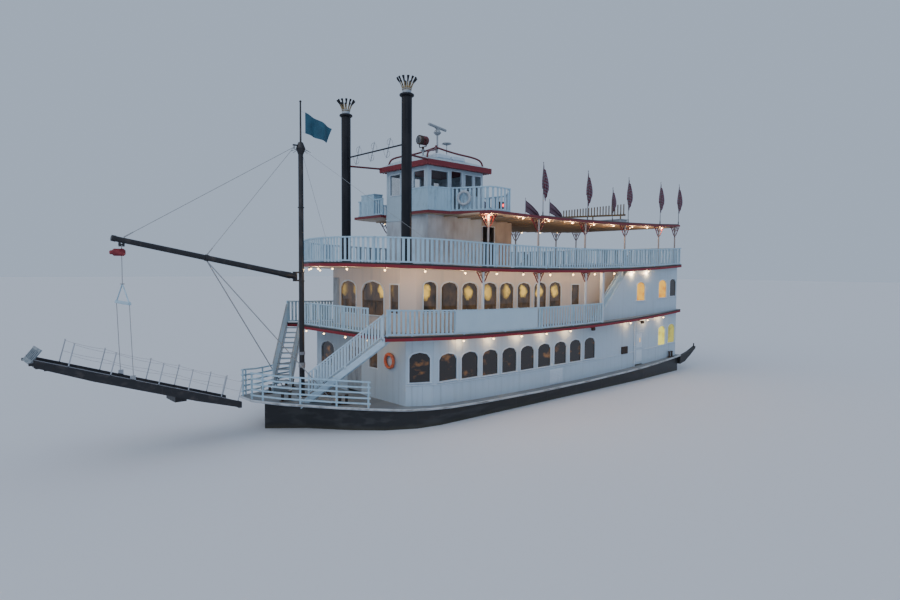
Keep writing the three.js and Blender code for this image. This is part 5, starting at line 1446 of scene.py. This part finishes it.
PETAL_LINE = [(0.19, 0.2), (0.215, 0.34), (0.27, 0.47), (0.345, 0.6), (0.425, 0.72)]
PETAL_WIDTHS = [0.044, 0.03, 0.028, 0.036, 0.058]
PETALS = 12


def petal():
    """A cut strip of plate that bends outwards to a rounded head."""
    bpy.ops.mesh.primitive_grid_add(x_subdivisions=2, y_subdivisions=len(PETAL_LINE) - 1, size=1)
    strip = bpy.context.object
    for vertex in strip.data.vertices:
        i = round((vertex.co.y + 0.5) * (len(PETAL_LINE) - 1))
        out, rise = PETAL_LINE[i]
        middle = abs(vertex.co.x) < 0.1
        head_rise = 0.02 if middle and i == len(PETAL_LINE) - 1 else 0
        vertex.co = (out, 2 * PETAL_WIDTHS[i] * vertex.co.x, rise + head_rise)
    modifier = strip.modifiers.new("plate", "SOLIDIFY")
    modifier.thickness = 0.018
    modifier.offset = 0
    bpy.ops.object.modifier_apply(modifier=modifier.name)
    return strip


def on_stack(side, z):
    """A point on the middle line of one of the stacks."""
    return Vector((STACK_X, side * STACK_Y, z))


foot = TOP_DECK + sheer(STACK_X)
for side, name in SIDE_NAMES:
    tube = [
        rod(on_stack(side, foot + 0.002), on_stack(side, COLLAR), STACK_RADIUS, sides=40),
        round_torus(0.262, 0.062, on_stack(side, COLLAR)),
        rod(on_stack(side, foot + 0.002), on_stack(side, foot + 0.09), 0.3, 0.29, 32, edge=0.015),
        round_torus(0.23, 0.022, on_stack(side, foot + 1.15))]
    stack_pipe = finished(joined(tube), f"stack_pipe_{name}", stack_finish)
    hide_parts(f"stack_{name}")
    band = [
        rod(on_stack(side, COLLAR + 0.03), on_stack(side, COLLAR + 0.27), 0.195, sides=36, edge=0.01),
        round_torus(0.2, 0.016, on_stack(side, COLLAR + 0.25))]
    finished(joined(band), f"stack_band_{name}", band_finish)
    ring = [Matrix.Translation(on_stack(side, COLLAR)) @ turned(30 * i) for i in range(PETALS)]
    finished(copies(petal(), ring), f"gilt_petals_{name}", gilt_finish)
    head = rod((0.33, 0, 0.58), (0.425, 0, 0.73), 0.026, 0.047, 12, edge=0.008)
    finished(copies(head, ring), f"petal_heads_{name}", stack_finish)

BRACE_Z = 13.26
scroll = pipe([
    (0, 0.36, -0.02), (0, 0.34, 0.22), (0, 0.14, 0.42), (0, -0.08, 0.38), (0, -0.12, 0.18), (0, 0.04, 0.12),
    (0, 0.1, 0.24)], 0.009, kind="NURBS")
slash = rod((0, -0.14, -0.42), (0, 0.18, 0.44), 0.009)
figure = joined([scroll, slash])
places = []
for y in (-1.38, -0.15, 1.08):
    centre = shift(STACK_X, y, BRACE_Z)
    places += [centre, centre @ turned(180, "X")]
brace_bar = rod((STACK_X, -2.171, BRACE_Z), (STACK_X, 2.171, BRACE_Z), 0.036)
finished(brace_bar, "stack_brace_bar", stack_finish)
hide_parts("stack_brace")
finished(copies(figure, places), "stack_brace_scrolls", steel_finish)
for side, name in SIDE_NAMES:
    stay_bar = rod((STACK_X - 0.13, side * 2.23, 12.86), (7.09, side * 1.88, 12.87), 0.046)
    finished(stay_bar, f"stack_stay_{name}", hoop_red)

# Mast and boom. A steel mast on the foredeck with a capped head, and the boom that holds the landing
# stage: a tapered pipe on a swivel, hung from the masthead by wire pendants and steadied by two guys.
spar_finish, place = new_finish("spar_black")
chips = place.noise(3, (1, 1, 0.5), 6).ramp(0.55, 0.78)
coat(
    spar_finish, Base_Color=chips.between((0.014, 0.014, 0.018, 1), (0.07, 0.055, 0.05, 1)),
    Roughness=chips * 0.2 + 0.36)
MAST_X, MAST_RADIUS, SWING_X = 12.5, 0.115, 12.8
MAST_CAP = 12.86
BOOM_HEEL = Vector((SWING_X, 0, 7.49))
BOOM_TIP = Vector((19.67, 0, 8.83))


def mast_rod(low, high, radius, tip, sides, edge=0.0):
    return rod((MAST_X, 0, low), (MAST_X, 0, high), radius, tip, sides, edge)


mast_foot = MAIN_DECK + main_sheer(MAST_X)
mast = [
    mast_rod(mast_foot + 0.002, 13.0, MAST_RADIUS, 0.105, 28),
    mast_rod(mast_foot + 0.002, mast_foot + 0.06, 0.22, 0.2, 28, 0.01),
    mast_rod(12.62, MAST_CAP, 0.11, 0.2, 24, 0.01), mast_rod(MAST_CAP, 13.12, 0.2, 0.1, 24, 0.01),
    mast_rod(13.1, 14.8, 0.042, 0.034, 16), mast_rod(14.8, 14.86, 0.06, 0.03, 16, 0.008)]
for i in range(8):
    way = turned(45 * i + 20) @ Vector((1, 0, 0))
    mast.append(rod(
        Vector((MAST_X, 0, 12.84)) + way * 0.15, Vector((MAST_X, 0, 12.72)) + way * 0.42, 0.014, 0.006, 8))
for low, high in ((-0.205, -0.1405), (0.1405, 0.205)):
    mast.append(rod(
        BOOM_HEEL + Vector((0, 0, low)), BOOM_HEEL + Vector((0, 0, high)), 0.095, sides=24, edge=0.006))
    mast.append(block(
        (MAST_X, -0.06, BOOM_HEEL.z + low), (SWING_X, 0.06, BOOM_HEEL.z + high), 0.004))
mast += [round_torus(0.12, 0.022, (MAST_X, 0, z)) for z in (7.3, 7.68, 10.4)]
mast.append(block((MAST_X, -0.05, 12.95), (SWING_X + 0.05, 0.05, 13.0), 0.006))
mast_spar = finished(joined(mast), "mast_spar", spar_finish)
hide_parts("mast")
lashing = [round_torus(0.128, 0.016, (MAST_X, 0, 3.62 + 0.03 * i)) for i in range(7)]
lashing += [round_torus(0.126, 0.013, (MAST_X, 0, 4.16 + 0.026 * i)) for i in range(5)]
rope_finish, place = new_finish("rope_grey")
coat(
    rope_finish, Base_Color=place.noise(30, detail=4).between((0.36, 0.38, 0.42, 1), (0.2, 0.2, 0.22, 1)),
    Roughness=0.8, Normal=place.noise(160, detail=1).bump(0.004))
finished(joined(lashing), "mast_lashings", rope_finish)


def along_boom(x):
    share = (x - BOOM_HEEL.x) / (BOOM_TIP.x - BOOM_HEEL.x)
    return BOOM_HEEL.lerp(BOOM_TIP, share)


HOOK_X, GUY_X = 19.38, 16.46
sheave = along_boom(HOOK_X)
cheek_foot = sheave.z - 0.228
boom = [
    rod(BOOM_HEEL + Vector((0, 0, -0.139)), BOOM_HEEL + Vector((0, 0, 0.139)), 0.095, sides=24, edge=0.006),
    rod(BOOM_HEEL, BOOM_TIP, 0.118, 0.096, 24),
    rod(along_boom(13.0), along_boom(13.5), 0.14, 0.125, 24, edge=0.02),
    rod(along_boom(19.55), along_boom(19.7), 0.112, 0.107, 24, edge=0.015),
    rod(along_boom(16.4), along_boom(16.54), 0.125, 0.125, 24, edge=0.01),
    block((HOOK_X - 0.09, -0.06, cheek_foot), (HOOK_X - 0.03, 0.06, sheave.z), 0.01),
    block((HOOK_X + 0.03, -0.06, cheek_foot), (HOOK_X + 0.09, 0.06, sheave.z), 0.01),
    rod((HOOK_X - 0.1, 0, sheave.z - 0.15), (HOOK_X + 0.1, 0, sheave.z - 0.15), 0.02)]
boom_spar = finished(joined(boom), "boom_spar", spar_finish, "boom")
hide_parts("boom")

# Rigging. Galvanised wire pendants from the masthead to the boom, two guys from the boom to the foredeck,
# backstays to the top deck, and the fall that lifts the stage. All of it is taut.
wire_finish, place = new_finish("galvanised_wire", Metallic=0.4)
coat(
    wire_finish, Base_Color=place.noise(40, detail=3).between((0.44, 0.46, 0.48, 1), (0.26, 0.26, 0.27, 1)),
    Roughness=0.5, Normal=place.noise(220, detail=1).bump(0.002))
LIFT_HEAD = Vector((SWING_X, 0, 12.89))
lifts = [rod(LIFT_HEAD + Vector((0, 0, -0.07)), LIFT_HEAD + Vector((0, 0, 0.058)), 0.04, edge=0.008)]
for x in (19.3, GUY_X):
    end = along_boom(x) + Vector((0, 0, 0.12))
    lifts.append(rod(LIFT_HEAD, end, 0.011, sides=8))
    way = (LIFT_HEAD - end).normalized()
    lifts.append(rod(end, end + way * 0.35, 0.024, 0.02, 10, edge=0.004))
pendants = finished(joined(lifts), "boom_pendants", wire_finish, "boom")
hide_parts("topping_lifts")


def blended_rope(name, start, end, radius=0.014):
    """A taut rope from one body to another, made in short lengths."""
    count = 12
    points = [Vector(start).lerp(Vector(end), i / count) for i in range(count + 1)]
    rope = pipe(points, radius, 2)
    still(rope)
    rope.name = name
    rope.data.name = name
    rope.data.materials.clear()
    rope.data.materials.append(wire_finish)
    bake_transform(rope)
    return rope


GUY_HEAD = along_boom(GUY_X) + Vector((0, 0, -0.12))
for side, name in SIDE_NAMES:
    foot_at = Vector((12.3, side * 2.2, MAIN_DECK + main_sheer(12.3) + 0.12))
    blended_rope(f"boom_guy_{name}", GUY_HEAD, foot_at, 0.02)
    eye = joined([
        round_torus(0.05, 0.014, foot_at - Vector((0, 0, 0.05)), 16),
        block(foot_at - Vector((0.08, 0.08, 0.118)), foot_at - Vector((-0.08, -0.08, 0.09)), 0.006)])
    finished(eye, f"guy_eye_{name}", iron_finish)
fall = blended_rope("hoist_rope", (HOOK_X, 0, sheave.z - 0.15), (HOOK_X, 0, 8.48), 0.016)
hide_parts("hoist_fall")
stays = [
    rod((MAST_X, 0, 12.9), on_sheer(8.9, side * 3.9, TOP_DECK + 1.07), 0.006, sides=8) for side in (1, -1)]
finished(joined(stays), "masthead_stays", wire_finish)

BLOCK_LOW, BLOCK_HIGH = 8.22, 8.47
hook_block = [
    block((HOOK_X - 0.12, -0.09, BLOCK_LOW), (HOOK_X + 0.3, 0.09, BLOCK_HIGH), 0.06),
    block((HOOK_X + 0.2, -0.06, BLOCK_LOW + 0.05), (HOOK_X + 0.38, 0.06, BLOCK_HIGH - 0.06), 0.03),
    rod((HOOK_X, -0.1, 8.35), (HOOK_X, 0.1, 8.35), 0.04, edge=0.006),
    block((HOOK_X - 0.02, -0.05, BLOCK_HIGH - 0.01), (HOOK_X + 0.02, 0.05, BLOCK_HIGH + 0.01), 0.004)]
finished(joined(hook_block), "hook_block", trim_red, "hoist")
APEX = Vector((HOOK_X, 0, 7.25))
SPREADER_Z, SPREADER_HALF = 6.6, 0.83
STAGE_HALF = 0.8
BRIDLE = Vector((19.3, 0, 4.07))
bridle = [
    rod((HOOK_X, 0, BLOCK_LOW + 0.01), (HOOK_X, 0, 7.2), 0.014, sides=8), round_torus(0.06, 0.016, APEX, 20),
    rod((HOOK_X, -0.85, SPREADER_Z), (HOOK_X, 0.85, SPREADER_Z), 0.038, edge=0.006)]
spreader = [
    block((HOOK_X - 0.05, -0.87, SPREADER_Z - 0.05), (HOOK_X + 0.05, 0.87, SPREADER_Z + 0.05), 0.012)]
for side in (1, -1):
    tip = Vector((HOOK_X, side * SPREADER_HALF, SPREADER_Z))
    spreader.append(rod(APEX, tip, 0.022, sides=10))
    bridle.append(rod(tip, (BRIDLE.x, side * SPREADER_HALF, BRIDLE.z + 0.05), 0.012, sides=8))
    bridle.append(rod(
        (BRIDLE.x, side * (STAGE_HALF + 0.003), BRIDLE.z), (BRIDLE.x, side * (STAGE_HALF + 0.058), BRIDLE.z),
        0.058, sides=20, edge=0.008))
bridle_wires = finished(joined(bridle), "stage_bridle", wire_finish, "hoist")
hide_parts("spreader_bridle")
finished(joined(spreader), "spreader_bar", rail_finish, "hoist")

# Landing stage. Two black plate girders with a grey deck of boards between them, stanchions with rope
# rails on both sides, and a slatted aluminium apron hinged across the tip.
STAGE_HEEL_X, STAGE_HEEL_Z = 15.5, 2.65
STAGE_TIP_X, STAGE_TIP_Z = 22.1, 4.9
STAGE_SLOPE = (STAGE_TIP_Z - STAGE_HEEL_Z) / (STAGE_TIP_X - STAGE_HEEL_X)


def stage_top(x):
    return STAGE_HEEL_Z + STAGE_SLOPE * (x - STAGE_HEEL_X)


stage_finish, place = new_finish("stage_paint")
over = place.axis(2) - (place.axis(0) - STAGE_HEEL_X) * STAGE_SLOPE - STAGE_HEEL_Z
up_side = facing(place, 2).ramp(0.5, 0.6)
bare = place.noise(4, (1, 1, 1.6), 6).ramp(0.5, 0.75)
slats_across = abs((place.axis(0) % 0.3) - 0.15).ramp(0.012, 0.003)
paint = bare.between((0.014, 0.014, 0.018, 1), (0.06, 0.05, 0.05, 1))
deck_paint = bare.between((0.20, 0.21, 0.25, 1), (0.3, 0.31, 0.34, 1))
coat(
    stage_finish,
    Base_Color=(over > 0.06).between(up_side.between(paint, deck_paint), (0.42, 0.45, 0.50, 1)),
    Roughness=bare * 0.2 + 0.45, Normal=(slats_across * up_side).bump(0.01))
repaint(stage_finish, "landing_stage")
STANCHION_XS = (15.65, 16.3, 17.5, 18.5, 20.0, 21.2)
STANCHION_Y, STANCHION_LEAN, ROPE_SAG = 0.745, 0.21, 0.12
rope_rails = []
for side in (1, -1):
    for lift in (0.74, 0.4):
        tops = [
            (x - STANCHION_LEAN * (lift + 0.06) / 0.82, side * STANCHION_Y, stage_top(x) + lift)
            for x in STANCHION_XS]
        sagged = []
        for (x0, y, z0), (x1, _, z1) in zip(tops, tops[1:]):
            sagged += [
                (x0 + (x1 - x0) * t, y, z0 + (z1 - z0) * t - ROPE_SAG * (x1 - x0) * t * (1 - t))
                for t in (0, 0.25, 0.5, 0.75)]
        rope_rails.append(pipe([*sagged, tops[-1]], 0.005, 1))
for x in STANCHION_XS:
    for side in (1, -1):
        head = Vector((x - STANCHION_LEAN, side * STANCHION_Y, stage_top(x) + 0.76))
        rope_rails.append(round_torus(0.024, 0.008, head + Vector((0, 0, 0.02)), 12))
finished(joined(rope_rails), "stage_rope_rails", wire_finish, "stage")
cleats = []
for x in (17.0, 18.2, 20.6, 21.7):
    low, high = stage_top(x) - 0.2, stage_top(x) - 0.02
    cleats.append(block((x - 0.14, -0.812, low), (x + 0.14, -0.8, high), 0.004))
    cleats.append(block((x - 0.14, 0.8, low), (x + 0.14, 0.812, high), 0.004))
finished(joined(cleats), "girder_plates", spar_finish, "stage")
apron_finish, place = new_finish("apron_metal", Metallic=0.35)
worn = place.noise(8, detail=6).ramp(0.42, 0.7)
coat(apron_finish, Base_Color=worn.between((0.15, 0.19, 0.22, 1), (0.32, 0.36, 0.39, 1)), Roughness=0.5)
repaint(apron_finish, "stage_apron")

# Foredeck and deck-edge fittings. Cast bitts stand in pairs at the bow and the quarters and a capstan
# amidships of the foredeck, all of cast iron, bolted through the deck and rubbed bare by rope.
deck_gear = []
for x, y in ((13.7, 0.9), (11.9, 2.3), (-11.6, 4.25)):
    z = MAIN_DECK + main_sheer(x)
    for y in (y, -y):
        deck_gear.append(block((x - 0.28, y - 0.1, z + 0.001), (x + 0.28, y + 0.1, z + 0.04), 0.008))
        for step in (-0.16, 0.16):
            deck_gear.append(rod((x + step, y, z + 0.03), (x + step, y, z + 0.36), 0.06, edge=0.01))
            deck_gear.append(rod((x + step, y, z + 0.33), (x + step, y, z + 0.39), 0.08, edge=0.01))
CAPSTAN_X = 11.4
z = MAIN_DECK + main_sheer(CAPSTAN_X)
capstan = [
    rod((CAPSTAN_X, 0, z + 0.001), (CAPSTAN_X, 0, z + 0.1), 0.3, 0.27, 28, edge=0.01),
    rod((CAPSTAN_X, 0, z + 0.09), (CAPSTAN_X, 0, z + 0.45), 0.2, 0.13, 28),
    rod((CAPSTAN_X, 0, z + 0.44), (CAPSTAN_X, 0, z + 0.6), 0.2, 0.22, 28, edge=0.02)]
for i in range(6):
    way = turned(60 * i) @ Vector((1, 0, 0))
    low, high = Vector((CAPSTAN_X, 0, z + 0.1)), Vector((CAPSTAN_X, 0, z + 0.44))
    capstan.append(rod(low + way * 0.2, high + way * 0.135, 0.016, sides=8))
finished(joined(deck_gear + capstan), "deck_gear", iron_finish)
